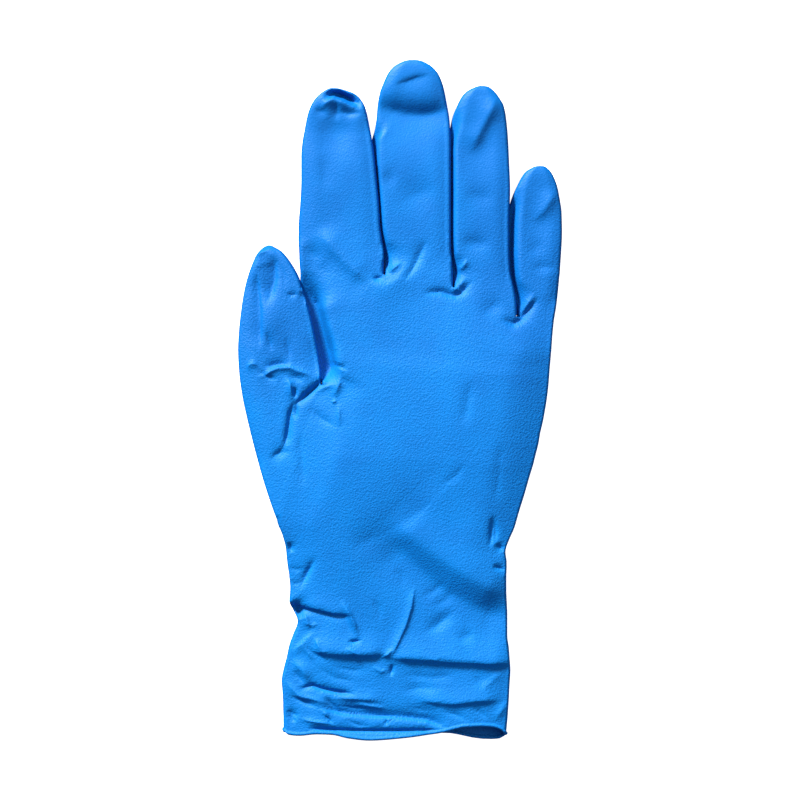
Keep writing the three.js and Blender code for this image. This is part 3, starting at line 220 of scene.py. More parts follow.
# Folds of the top film: height in mm (below zero is a valley), half widths in mm to the left and
# right of the line's direction, and the line's points in mm from the palm's middle line and the rim.
Fold = namedtuple("Fold", "height left right points")
FOLDS = (
    # index tip
    Fold(
        -4.76, 2.0, 1.5,
        ((-27.5, 225.2), (-25.4, 226.8), (-23.3, 227.8), (-19.4, 226.9), (-15.5, 224.3), (-13.8, 221.6)),
    ),
    Fold(1.4, 0.9, 1.8, ((-28.9, 221.6), (-26.1, 224.1), (-23.3, 226.1), (-19.1, 224.1), (-14.1, 221.3))),
    Fold(2.24, 1.0, 0.9, ((-28.2, 227.3), (-24.7, 229.1), (-21.2, 229.0), (-17.3, 227.3), (-14.5, 224.5))),
    Fold(-0.84, 1.3, 1.5, ((-22.4, 225.5), (-22.4, 217.4))),
    Fold(-0.98, 2.4, 1.2, ((-22.6, 221.6), (-18.0, 220.4), (-12.7, 220.9))),
    Fold(-0.7, 1.8, 1.8, ((-30.7, 222.0), (-28.2, 221.3), (-25.1, 220.9))),
    # index
    Fold(-0.48, 3.5, 2.5, ((-27.5, 207.5), (-26.5, 200.5), (-26.1, 192.0))),
    # middle tip
    Fold(-0.78, 1.0, 4, ((-3.5, 229.8), (1.1, 231.2), (5.6, 232.8), (12.0, 234.2))),
    Fold(
        -2.99,
        3.6,
        10,
        (
            (-12.0, 225.5), (-6.7, 223.1), (-2.8, 221.6), (1.8, 220.6),
            (6.7, 220.2), (11.3, 220.6), (15.2, 221.6), (20.5, 224.1),
        ),
    ),
    # middle
    Fold(-0.48, 2.5, 3, ((-7.1, 198.4), (-0.7, 196.9))),
    Fold(-0.96, 6, 6, ((-1.4, 187.8), (4.2, 191.3), (14.1, 195.5))),
    # ring tip
    Fold(
        1.69, 2.2, 4.5,
        ((33.7, 228.0), (33.2, 224.8), (31.1, 219.9), (28.9, 215.8), (26.1, 210.0), (23.3, 205.8)),
    ),
    # ring
    Fold(-0.6, 3, 4, ((21.5, 193.1), (28.2, 190.9), (34.2, 191.6))),
    Fold(-0.84, 2.5, 3, ((20.1, 175.4), (24.7, 174.9), (32.5, 174.4))),
    # little tip
    Fold(1.2, 2, 4, ((54.9, 195.5), (53.3, 190.9), (50.1, 186.0), (45.5, 181.8))),
    # little
    Fold(-0.6, 3, 1.6, ((45.2, 165.9), (51.2, 166.4), (56.1, 165.9))),
    Fold(-0.48, 3, 3, ((43.8, 170.8), (51.2, 175.4))),
    # index base
    Fold(1.68, 5, 2.6, ((-28.6, 181.4), (-23.6, 172.9), (-19.4, 168.7), (-15.2, 164.5), (-9.5, 160.6))),
    Fold(-0.72, 3, 4, ((-34.2, 170.1), (-28.9, 166.6), (-22.9, 162.4))),
    Fold(-0.84, 2.6, 2.6, ((-34.9, 174.0), (-27.2, 168.4))),
    # index crotch
    Fold(1.08, 0.8, 0.9, ((-4.9, 163.6), (-2.5, 165.9), (0.7, 168.5))),
    Fold(-1.08, 0.8, 0.8, ((-9.9, 162.2), (-7.8, 162.6), (-5.6, 162.4))),
    Fold(
        1.2, 2.6, 6,
        ((-14.1, 163.8), (-9.9, 160.6), (-4.9, 159.7), (-1.1, 162.0), (2.8, 166.6), (4.9, 170.8)),
    ),
    Fold(-0.96, 1.0, 1.8, ((9.5, 176.8), (7.6, 172.6), (6.0, 168.7), (4.1, 165.2), (0.7, 160.6))),
    # middle crotch
    Fold(0.96, 0.8, 1.0, ((19.1, 165.7), (21.7, 166.4), (24.2, 169.6))),
    Fold(1.08, 1.5, 1.3, ((16.6, 157.8), (18.5, 158.1), (20.6, 160.2), (23.8, 163.4))),
    Fold(
        -1.2,
        1.3,
        1.0,
        (
            (7.1, 157.1), (11.6, 157.7), (14.5, 157.7), (16.9, 156.9),
            (19.4, 156.4), (21.5, 157.4), (24.4, 160.8), (26.1, 162.5),
        ),
    ),
    # ring crotch
    Fold(1.08, 0.9, 1.5, ((41.3, 149.1), (43.4, 151.9), (45.9, 155.5), (47.3, 157.8))),
    Fold(
        -1.32,
        1.3,
        1.1,
        (
            (34.2, 147.0), (37.1, 147.7), (39.7, 146.6), (42.2, 147.7),
            (44.6, 150.9), (47.3, 154.2), (48.7, 156.7),
        ),
    ),
    Fold(-0.72, 2.8, 2.8, ((27.5, 148.9), (32.5, 152.5), (36.4, 155.3))),
    # thumb tip
    Fold(-1.8, 1.3, 4.2, ((-46.2, 172.2), (-44.1, 168.0), (-44.1, 162.4), (-45.5, 156.7), (-47.3, 152.1))),
    Fold(-1.32, 0.8, 4, ((-50.8, 166.6), (-50.1, 158.8), (-49.2, 151.8), (-49.1, 142.9), (-49.2, 136.9))),
    Fold(-0.6, 0.8, 0.8, ((-40.2, 157.1), (-38.1, 156.7), (-35.6, 157.1))),
    Fold(-0.42, 1, 1, ((-43.1, 169.4), (-40.9, 163.8), (-39.9, 158.1))),
    Fold(0.6, 0.7, 0.9, ((-51.9, 169.8), (-48.7, 171.9), (-45.5, 172.4))),
    # thumb
    Fold(-0.6, 0.9, 0.9, ((-47.3, 144.4), (-45.9, 140.5), (-44.8, 136.2))),
    Fold(-0.48, 1, 1.2, ((-40.2, 142.9), (-39.2, 136.9), (-38.8, 132.0))),
    Fold(-0.96, 1.4, 0.8, ((-48.7, 132.0), (-45.2, 131.8), (-41.6, 132.5), (-38.1, 132.2))),
    Fold(
        0.9,
        0.8,
        1.0,
        (
            (-51.2, 127.4), (-47.3, 128.6), (-45.2, 130.1), (-42.9, 131.1),
            (-38.5, 131.2), (-36.0, 130.1), (-29.6, 127.9),
        ),
    ),
    Fold(0.72, 0.8, 1.2, ((-54.4, 130.9), (-51.9, 132.7), (-49.4, 131.6))),
    Fold(-0.6, 1.2, 1, ((-39.9, 128.5), (-36.4, 127.6), (-33.2, 126.4))),
    Fold(-0.6, 0.9, 0.9, ((-50.8, 131.1), (-47.3, 128.3), (-42.4, 126.5))),
    Fold(1.08, 0.8, 1.4, ((-40.9, 128.1), (-38.6, 125.6), (-38.1, 122.1), (-37.8, 119.3))),
    Fold(-1.2, 0.8, 0.8, ((-36.9, 124.9), (-36.8, 120.0))),
    # thumb root
    Fold(-2.4, 1.2, 0.9, ((-26.5, 128.8), (-29.3, 124.9), (-32.5, 122.1), (-35.6, 119.3), (-37.8, 117.2))),
    Fold(-1.8, 1.3, 5, ((-25.4, 144.7), (-24.7, 137.6), (-24.5, 132.0), (-25.8, 124.9))),
    Fold(-1.56, 1.5, 0.9, ((-36.7, 120.7), (-38.6, 115.1), (-39.2, 110.5), (-39.9, 105.9), (-41.6, 101.6))),
    Fold(-0.6, 2.2, 0.9, ((-40.2, 104.5), (-42.4, 101.3), (-46.6, 98.5))),
    Fold(-0.84, 0.7, 0.8, ((-36.0, 119.3), (-36.5, 116.1), (-36.7, 112.6))),
    Fold(0.72, 0.9, 1.1, ((-31.8, 121.6), (-26.5, 124.4), (-21.9, 125.8))),
    Fold(0.84, 0.8, 0.8, ((-27.9, 127.1), (-25.4, 125.1))),
    Fold(1.2, 1.2, 2, ((-21.2, 130.2), (-21.4, 125.6), (-22.6, 122.1), (-23.1, 119.6))),
    Fold(-1.08, 1, 1, ((-24.7, 133.4), (-21.9, 131.8), (-18.0, 130.6))),
    Fold(0.6, 0.8, 0.9, ((-21.6, 119.6), (-21.4, 115.1), (-21.0, 110.1))),
    Fold(0.6, 0.8, 0.8, ((-24.2, 118.8), (-21.9, 120.0))),
    Fold(-0.6, 1.4, 1.3, ((-32.5, 117.9), (-27.5, 113.3), (-21.5, 109.8))),
    Fold(-1.08, 1.3, 1.4, ((-35.3, 158.5), (-32.8, 155.6), (-30.4, 155.5))),
    Fold(-0.48, 1.4, 1.8, ((-34.9, 109.4), (-34.6, 100.6), (-33.5, 88.2))),
    # palm
    Fold(-1.1, 8, 5, ((14.1, 85.4), (0.7, 76.9), (-8.5, 71.6), (-19.4, 66.7))),
    Fold(-0.33, 1.4, 1.4, ((23.3, 98.8), (19.4, 93.2), (13.4, 89.6))),
    Fold(-0.52, 2, 2, ((24.7, 127.8), (23.6, 120.0), (21.9, 109.4))),
    Fold(-0.33, 2, 2, ((35.3, 105.9), (34.2, 91.8), (33.2, 82.9))),
    Fold(-0.52, 1.6, 1.6, ((-45.9, 100.6), (-36.7, 102.7))),
    # wrist
    Fold(-0.84, 1, 1, ((-38.8, 70.6), (-38.1, 66.0))),
    Fold(-1.26, 0.9, 1.5, ((-29.2, 65.6), (-31.4, 61.4), (-33.5, 57.2), (-35.6, 52.9))),
    Fold(-1.12, 0.9, 1, ((32.3, 80.5), (31.8, 70.6), (30.7, 67.1))),
    Fold(-0.84, 0.8, 0.8, ((32.5, 79.8), (33.4, 74.1), (33.4, 68.8))),
    Fold(-1.12, 1, 1, ((33.2, 69.9), (36.4, 66.7))),
    Fold(-0.98, 0.9, 0.9, ((31.8, 61.8), (34.2, 61.2), (37.1, 60.2))),
    Fold(2.38, 13, 6, ((-4.6, 80.5), (1.8, 74.1), (10.6, 66.7), (19.4, 60.7), (28.2, 55.4), (41.6, 49.8))),
    Fold(-2.1, 6, 10, ((-7.1, 74.1), (0.0, 67.1), (7.8, 59.6), (15.2, 53.3), (26.5, 46.9), (40.9, 42.4))),
    Fold(-1.12, 2.5, 2, ((7.4, 38.1), (13.1, 40.9), (19.8, 46.9))),
    Fold(-0.56, 2, 2, ((19.4, 35.6), (26.5, 38.1))),
    # notch
    Fold(
        0.88, 4, 0.6,
        ((-43.8, 50.5), (-39.2, 49.1), (-34.2, 47.8), (-28.9, 46.6), (-23.3, 45.2), (-15.5, 44.5)),
    ),
    Fold(
        -0.77, 0.7, 1.6,
        ((-43.8, 49.8), (-39.2, 48.4), (-34.2, 46.9), (-28.9, 45.7), (-23.3, 44.5), (-15.5, 43.9)),
    ),
    Fold(-3.74, 3.0, 2.0, ((-39.2, 49.1), (-37.1, 46.6), (-36.2, 42.4))),
    # cuff
    Fold(0.81, 0.66, 1.31, ((-34.2, 46.6), (-32.8, 43.1), (-31.4, 39.2))),
    Fold(1.22, 0.66, 1.15, ((-21.0, 50.5), (-17.8, 45.2), (-15.9, 41.3), (-14.8, 38.1), (-14.1, 36.7))),
    Fold(-1.08, 0.66, 0.66, ((-18.7, 35.3), (-15.9, 35.3), (-13.1, 35.8))),
    Fold(0.74, 2.6, 0.8, ((-28.6, 39.9), (-32.5, 36.4), (-34.2, 34.6), (-39.5, 30.0))),
    Fold(0.81, 0.98, 0.66, ((-30.0, 36.9), (-27.4, 30.7))),
    Fold(0.68, 0.66, 0.66, ((-19.2, 33.3), (-14.6, 30.6))),
    Fold(0.81, 0.6, 1.5, ((5.1, 55.4), (3.9, 47.3), (1.9, 40.9), (-0.7, 35.3), (-3.9, 28.6))),
    Fold(0.81, 0.82, 0.82, ((-7.1, 29.5), (-4.2, 30.9), (-2.1, 33.5))),
    Fold(-1.08, 0.66, 0.74, ((-2.8, 27.9), (-3.0, 25.1), (-3.5, 22.6))),
    Fold(1.76, 6, 1.3, ((-33.9, 32.5), (-28.2, 31.8), (-20.8, 31.2), (-12.7, 30.9), (-1.8, 31.8))),
    Fold(1.82, 7, 1.3, ((-6.7, 30.4), (-2.5, 29.8), (7.1, 29.3), (19.8, 28.4), (31.4, 27.7), (42.4, 28.2))),
    # lower cuff
    Fold(1.22, 2.05, 1.23, ((-38.3, 29.2), (-34.2, 25.2), (-31.4, 20.8))),
    Fold(-1.49, 0.74, 0.82, ((-36.4, 18.0), (-31.0, 19.9), (-27.4, 18.7), (-22.3, 17.6), (-14.8, 16.8))),
    Fold(-0.94, 1.07, 0.98, ((-39.6, 16.4), (-33.9, 14.1), (-27.9, 11.9))),
    Fold(-0.94, 1.23, 1.23, ((-40.2, 11.3), (-35.3, 8.5))),
    Fold(0.88, 2.05, 0.8, ((-24.0, 15.7), (-14.1, 15.2), (-4.9, 14.5))),
    Fold(-0.68, 0.8, 0.8, ((-26.8, 16.2), (-24.7, 14.1), (-21.9, 10.9))),
    Fold(1.22, 5, 1.1, ((3.9, 15.2), (13.1, 14.1), (18.4, 13.6), (26.8, 14.6), (37.1, 15.0))),
    Fold(0.68, 1.31, 1.31, ((37.8, 15.2), (35.3, 10.6), (32.5, 7.4))),
    Fold(
        -1.49, 2.13, 0.74,
        ((-28.9, 12.7), (-20.5, 10.2), (-10.6, 9.4), (0.0, 8.8), (9.5, 7.8), (16.9, 4.9)),
    ),
    Fold(-1.08, 0.66, 0.66, ((-26.9, 10.1), (-23.3, 6.0))),
    Fold(-0.68, 0.66, 0.66, ((-4.9, 8.5), (-4.9, 5.6))),
    Fold(-1.35, 0.7, 0.66, ((-33.2, 4.8), (-14.1, 4.0), (0.0, 4.0), (14.1, 4.3))),
    Fold(-0.54, 3, 3, ((19.4, 35.3), (28.2, 22.6), (35.3, 20.5))),
    Fold(0.81, 0.8, 1.2, ((-28.9, 12.0), (-26.1, 10.2), (-25.1, 7.8), (-22.6, 4.9))),
    Fold(0.81, 1, 1.6, ((-41.3, 22.6), (-36.7, 17.6), (-31.1, 12.4))),
    # cuff marks
    Fold(0.42, 0.82, 0.82, ((-34.9, 42.0), (-30.7, 40.9), (-27.5, 41.6))),
    Fold(-0.42, 0.82, 0.98, ((-35.3, 33.5), (-31.1, 31.8), (-24.7, 27.9))),
    Fold(-0.42, 1.31, 1.31, ((-24.7, 26.8), (-16.9, 25.1), (-9.9, 25.4))),
    Fold(-0.48, 1.64, 1.64, ((0.0, 24.0), (10.6, 22.6), (20.5, 23.3))),
    Fold(-0.42, 1.64, 1.31, ((-1.1, 17.6), (7.1, 19.1), (16.2, 18.4))),
    Fold(0.54, 0.74, 0.82, ((-9.9, 26.8), (-6.7, 24.7), (-3.9, 25.8))),
    Fold(-0.6, 0.82, 0.98, ((-37.8, 25.4), (-35.3, 22.6), (-33.5, 19.8))),
    Fold(0.72, 0.9, 0.8, ((-38.5, 16.9), (-31.1, 15.2), (-24.7, 13.4))),
    Fold(-0.48, 0.82, 0.82, ((-22.6, 13.1), (-16.9, 12.0), (-9.9, 11.6))),
    Fold(0.6, 0.7, 0.7, ((-17.6, 13.8), (-10.2, 12.7), (-3.5, 11.6))),
    Fold(-0.6, 0.74, 0.74, ((-39.2, 9.9), (-36.4, 6.4))),
    Fold(0.72, 0.8, 0.7, ((-36.7, 8.5), (-29.6, 7.1), (-22.9, 6.4))),
    Fold(-0.48, 0.82, 0.66, ((-19.4, 8.1), (-14.8, 6.0), (-9.9, 5.6))),
    Fold(0.48, 0.8, 0.8, ((-35.3, 34.9), (-32.1, 31.1), (-30.0, 27.9))),
    Fold(-0.36, 1.2, 1.2, ((-20.8, 48.4), (-16.9, 35.3))),
    Fold(-0.36, 1.4, 1.4, ((6.4, 50.1), (10.6, 52.2), (16.6, 56.5))),
    Fold(-0.42, 1.4, 1.2, ((-30.0, 26.8), (-23.3, 22.6), (-14.1, 20.8))),
    Fold(-0.36, 1.2, 1, ((1.4, 12.0), (8.5, 11.3), (13.4, 9.9))),
    Fold(-0.48, 1.15, 0.98, ((14.1, 11.3), (19.8, 9.5), (24.7, 7.4))),
    Fold(-0.42, 1.15, 0.98, ((24.7, 12.4), (28.2, 10.2), (30.7, 7.4))),
    Fold(0.42, 1.4, 1.4, ((26.1, 16.9), (31.1, 20.5), (37.4, 25.8))),
    Fold(-0.36, 1.2, 1.2, ((24.7, 24.0), (28.2, 20.8), (29.6, 16.9))),
    Fold(-0.3, 1.31, 1.31, ((-2.5, 61.4), (0.4, 58.2), (1.8, 52.9))),
    Fold(-0.3, 1.15, 1.15, ((-10.6, 50.8), (-7.8, 47.3), (-6.7, 41.6))),
    Fold(-0.36, 1.64, 1.64, ((10.6, 46.6), (15.5, 49.4), (19.4, 53.3))),
    Fold(-0.36, 0.98, 0.98, ((-39.5, 61.4), (-36.4, 60.4), (-33.2, 61.1))),
    Fold(-0.3, 0.82, 0.82, ((-39.2, 56.5), (-36.7, 55.4), (-34.2, 56.1))),
)

# Soft swells of the film: centre, radii and height, all in mm.
Swell = namedtuple("Swell", "x y across along height")
SWELLS = (
    Swell(-12.0, 95.0, 16.0, 22.0, 0.8),
    Swell(14.0, 70.0, 14.0, 18.0, -0.8),
    Swell(24.0, 118.0, 14.0, 20.0, 0.7),
    Swell(-4.0, 140.0, 16.0, 12.0, -0.6),
    # dents at the fingertips, and a raised thumb
    Swell(-23.3, 214.0, 9.0, 9.0, -2.2),
    Swell(5.0, 218.0, 10.0, 10.0, -0.4),
    Swell(28.0, 212.0, 8.0, 12.0, -2.0),
    Swell(49.0, 186.0, 7.0, 12.0, -1.6),
    Swell(-45.5, 148.0, 5.0, 7.0, 1.0),
    # film pulled flat beside the crotch of the thumb
    Swell(-25.6, 129.5, 4.0, 5.0, 1.0),
    Swell(-27.0, 161.0, 8.0, 8.0, 1.2),
    # start of the lap between the index and the middle finger
    Swell(-7.2, 217.0, 2.5, 4.0, 0.7),
)


class GloveSizes(bpy.types.PropertyGroup):
    """Sizes of the dipped film"""

    length: bpy.props.FloatProperty(
        name="Length", description="Rim to middle fingertip", default=0.240, unit="LENGTH"
    )
    palm_width: bpy.props.FloatProperty(
        name="Palm width", description="Flat width of the palm", default=0.088, unit="LENGTH"
    )
    palm_rise: bpy.props.FloatProperty(
        name="Palm rise",
        description="Height of the palm off the table",
        default=PALM_RISE * MM,
        unit="LENGTH",
    )
    film: bpy.props.FloatProperty(
        name="Film", description="Thickness drawn for the film", default=0.0004, unit="LENGTH"
    )
    rim: bpy.props.FloatProperty(
        name="Rim radius", description="Radius of the rolled rim", default=0.00068, unit="LENGTH"
    )
    finger_columns: bpy.props.IntProperty(
        name="Finger columns", description="Mesh columns across one finger", default=20, min=8
    )


class GloveColours(bpy.types.PropertyGroup):
    """Colours of the glove and of the table it lies on"""

    film: bpy.props.StringProperty(name="Film", description="Nitrile blue, sRGB", default="#0479CB")
    # Deeper blue of thicker patches, and also the colour of the painted shade at the fingertips and outer
    # digits.
    thick_film_and_shade: bpy.props.StringProperty(
        name="Thick film", description="Deeper blue where film gathers, sRGB", default="#026ABA"
    )
    table: bpy.props.StringProperty(name="Table", description="Table top, sRGB", default="#FFFFFF")


def linear(hex_colour):
    """Linear RGBA of an sRGB hex colour."""
    parts = [int(hex_colour[at : at + 2], 16) / 255 for at in (1, 3, 5)]
    return [part / 12.92 if part <= 0.04045 else ((part + 0.055) / 1.055) ** 2.4 for part in parts] + [1]


def smooth(value):
    """Eases from 0 to 1."""
    held = np.clip(value, 0, 1)
    return held * held * (3 - 2 * held)


def mix(low, high, share):
    return low + (high - low) * share


class Curve:
    """Smooth curve through a column of numbers that never overshoots them."""

    def __init__(self, places, values):
        self.places = np.asarray(places, float)
        self.values = np.asarray(values, float)
        steps = np.diff(self.values) / np.diff(self.places)
        before, after = steps[:-1], steps[1:]
        same_way = before * after > 0
        total = np.where(same_way, before + after, 1)
        turn = np.where(same_way, 2 * before * after / total, 0)
        self.slopes = np.concatenate(([0], turn, [0]))

    def __call__(self, where):
        where = np.clip(where, self.places[0], self.places[-1])
        at = np.clip(np.searchsorted(self.places, where) - 1, 0, len(self.places) - 2)
        span = self.places[at + 1] - self.places[at]
        share = (where - self.places[at]) / span
        bend = self.slopes[at] * (1 - share) - self.slopes[at + 1] * share
        level = mix(self.values[at], self.values[at + 1], smooth(share))
        return level + share * (1 - share) * span * bend


# A section in millimetres: its ends seen from above, its rise, and how far it is tucked and laps.
Cut = namedtuple("Cut", "left right rise under over")


class Sections:
    """A table of sections as smooth curves in millimetres."""

    def __init__(self, rows, sizes):
        places = [row.at for row in rows]
        self.curves = {}
        for key in Section._fields[1:]:
            self.curves[key] = Curve(places, [getattr(row, key) for row in rows])
        self.scale = {"x": sizes.palm_width / MM, "y": sizes.length / MM, "rise": sizes.palm_rise / MM}

    def at(self, where):
        value = {key: float(curve(where)) for key, curve in self.curves.items()}
        left = np.array([value["left_x"] * self.scale["x"], value["left_y"] * self.scale["y"]])
        right = np.array([value["right_x"] * self.scale["x"], value["right_y"] * self.scale["y"]])
        return Cut(left, right, value["rise"] * self.scale["rise"], value["under"], value["over"])


# How far a tucked side stays down before it rises, and how wide its rise is.
Tuck = namedtuple("Tuck", "flat roll")
PALM_TUCK = Tuck(5.0, 3.6)
FINGER_TUCKS = (Tuck(0.7, 1.5), Tuck(0.7, 1.5), Tuck(0.7, 2.0), Tuck(0.9, 3.4))

# Sides of a section
EDGE_ANGLES = np.radians([50, 0, -50])  # points round a side, from the top film down
EDGE_INSET = 0.8  # width of a side's round
NARROW_INSET = 0.16  # the most of a narrow section's width that the round takes
EDGE_DROP = 3.2  # how far a free side at full rise lies below the film's middle
DROP_POWER = 3  # how quickly that gets less where the film lies lower
TUCKED_EDGE_TOP = 3.7  # height of a side that is tucked under its neighbour
LAPPED_EDGE_BOTTOM = 4.1  # height of a lapping side's underside, over the tucked one
LAPPED_EDGE_DROP = 0.8  # how far a lapping side's top lies below the film's middle
LAPPED_EDGE_CURL = 0.55  # how far its last column curls up again
LAP_LIFT = 6.0  # width over which its underside leaves the table

# Palm
PALM_ROLL = 16.0  # width over which the palm's sides round up
CROTCH_RISE = 9.4  # height of the film where two fingers part
CROTCH_REACH = 2.6  # distance at which the film is up to the palm's rise again
LIP_FADE = 14.0  # distance over which the rim's waves die out
KNUCKLE_FADE = 0.04  # share of HAND over which the crotches sink in
BOW_FADE = 0.16  # share of HAND over which its sections bow towards the knuckles
THUMB_FADE = 8.0  # how far the thumb's root swells into the palm
THUMB_ROOT_RISE = 9.2
THUMB_ROOT_POWER = 0.7  # below 1, the root swells out sooner

# Digits
FINGER_ROLL_SHARE = 0.22  # width over which a finger's sides round up, as a share of the finger
DIGIT_RISE = 8.4  # where a digit gets lower than this, towards its tip, it is held up
TIP_HOLD = 0.22  # the smaller, the blunter the tip
TIP_RISE = 1.8
TIP_SHARES = (0.86, 0.72, 0.58, 0.44, 0.3, 0.16)  # loops that close a tip, in sizes of its last section
TIP_CROWDING = 1.25  # above 1, rows get closer towards the tip

# Mesh rows along the glove and columns across it
BELOW_THUMB_ROWS = 64
THUMB_ROOT_ROWS = 36
ABOVE_THUMB_ROWS = 30
THUMB_ROWS = 60
FINGER_ROWS = 72
UNDER_COLUMNS = np.array([0, 0.3, 0.6, 0.76, 0.88, 1])
EVEN_SHARE = 0.65  # how far a finger's columns are evenly spaced, not crowded to its sides


def edge_heights(cut):
    """Heights of a section's left side, right side and the underside of its right side."""
    free = cut.rise - EDGE_DROP * (cut.rise / PALM_RISE) ** DROP_POWER
    left = mix(free, TUCKED_EDGE_TOP, cut.under)
    right = mix(free, cut.rise - LAPPED_EDGE_DROP, cut.over)
    return left, right, LAPPED_EDGE_BOTTOM * cut.over


def roll_up(edge, rise, distance, width):
    """Height of the top film at a distance from an edge."""
    return edge + (rise - edge) * np.sin(np.clip(distance / width, 0, 1) * np.pi / 2)


# The parts of one loop round the film, in order.
Loop = namedtuple("Loop", "top right under left")


def between(first, last):
    """Values at the points round a side, evenly spaced between its two ends."""
    return np.linspace(first, last, len(EDGE_ANGLES) + 2)[1:-1]


def edge_points(cut, share_inside, share_outside, top, bottom):
    """Points of a rounded edge, from the top film down to the bottom film."""
    middle, half = (top + bottom) / 2, (top - bottom) / 2
    shares = mix(share_inside, share_outside, np.cos(EDGE_ANGLES))
    flat = cut.left + shares[:, None] * (cut.right - cut.left)
    return np.column_stack((flat, middle + half * np.sin(EDGE_ANGLES)))


def section_loop(cut, top_shares, under_shares, roll, tuck):
    """Points of one section, round the film: top, right edge, underside, left edge."""
    width = float(np.hypot(*(cut.right - cut.left)))
    inset = min(EDGE_INSET, width * NARROW_INSET)
    left_top, right_top, right_bottom = edge_heights(cut)

    def place(shares, heights):
        flat = cut.left + shares[:, None] * (cut.right - cut.left)
        return np.column_stack((flat, heights))

    top = (inset + top_shares * (width - 2 * inset)) / width
    from_left = top * width - inset - cut.under * tuck.flat
    from_right = (1 - top) * width - inset
    left_roll = mix(roll, tuck.roll, cut.under)
    left_heights = roll_up(left_top, cut.rise, from_left, left_roll)
    right_heights = roll_up(right_top, cut.rise, from_right, roll)
    heights = np.minimum(left_heights, right_heights)
    heights[-1] += LAPPED_EDGE_CURL * cut.over
    under = (inset + under_shares * (width - 2 * inset)) / width
    lift = right_bottom * (1 - smooth(((1 - under) * width - inset) / LAP_LIFT))
    share = inset / width
    return Loop(
        place(top, heights),
        edge_points(cut, 1 - share, 1, right_top, right_bottom),
        place(under, lift)[::-1],
        edge_points(cut, share, 0, left_top, 0)[::-1],
    )


class Film:
    """Points and faces of the film, as they are added."""

    def __init__(self):
        self.points = []
        self.count = 0
        self.faces = []

    def add(self, points):
        """Adds points and gives their numbers."""
        self.points.append(points)
        first = self.count
        self.count += len(points)
        return np.arange(first, self.count)

    def add_loop(self, loop):
        return Loop(*(self.add(part) for part in loop))

    def strip(self, lower, upper):
        """Joins two rows of point numbers with triangles."""
        self.faces.append(np.column_stack((lower[:-1], lower[1:], upper[1:])))
        self.faces.append(np.column_stack((lower[:-1], upper[1:], upper[:-1])))


def ring_of(loop):
    """The loop's parts in one row that ends where it starts."""
    return np.concatenate((loop.top, loop.right, loop.under, loop.left, loop.top[:1]))


def finger_columns(count):
    """Shares across a finger, closer together towards its sides."""
    even = np.linspace(0, 1, count + 1)
    crowded = 0.5 - 0.5 * np.cos(np.pi * even)
    return EVEN_SHARE * even + (1 - EVEN_SHARE) * crowded


def palm_columns(columns):
    """Shares across the palm so that columns meet the crotches."""
    stops = (CROTCH_X - CROTCH_X[0]) / (CROTCH_X[-1] - CROTCH_X[0])
    parts = [mix(low, high, columns[1:]) for low, high in zip(stops[:-1], stops[1:])]
    return np.concatenate([[0]] + parts)


def knuckle_bow(shares, length):
    """How far the line of knuckles stands forward of the straight line between its ends."""
    x = mix(CROTCH_X[0], CROTCH_X[-1], shares)
    return (np.interp(x, CROTCH_X, CROTCH_Y) - mix(CROTCH_Y[0], CROTCH_Y[-1], shares)) * length


def knuckle_rise(shares, cut, palm_width, roll):
    """Height of the top film along the knuckles, low at each crotch."""
    x = mix(CROTCH_X[0], CROTCH_X[-1], shares)
    near = np.abs(x[:, None] - CROTCH_X[None, 1:-1]).min(axis=1) * palm_width
    at_crotch = roll_up(CROTCH_RISE, cut.rise, near, CROTCH_REACH)
    left_top, right_top, _ = edge_heights(cut)
    from_left = roll_up(left_top, cut.rise, shares * palm_width - EDGE_INSET, roll)
    from_right = roll_up(right_top, cut.rise, (1 - shares) * palm_width - EDGE_INSET, roll)
    return np.minimum(at_crotch, np.minimum(from_left, from_right))


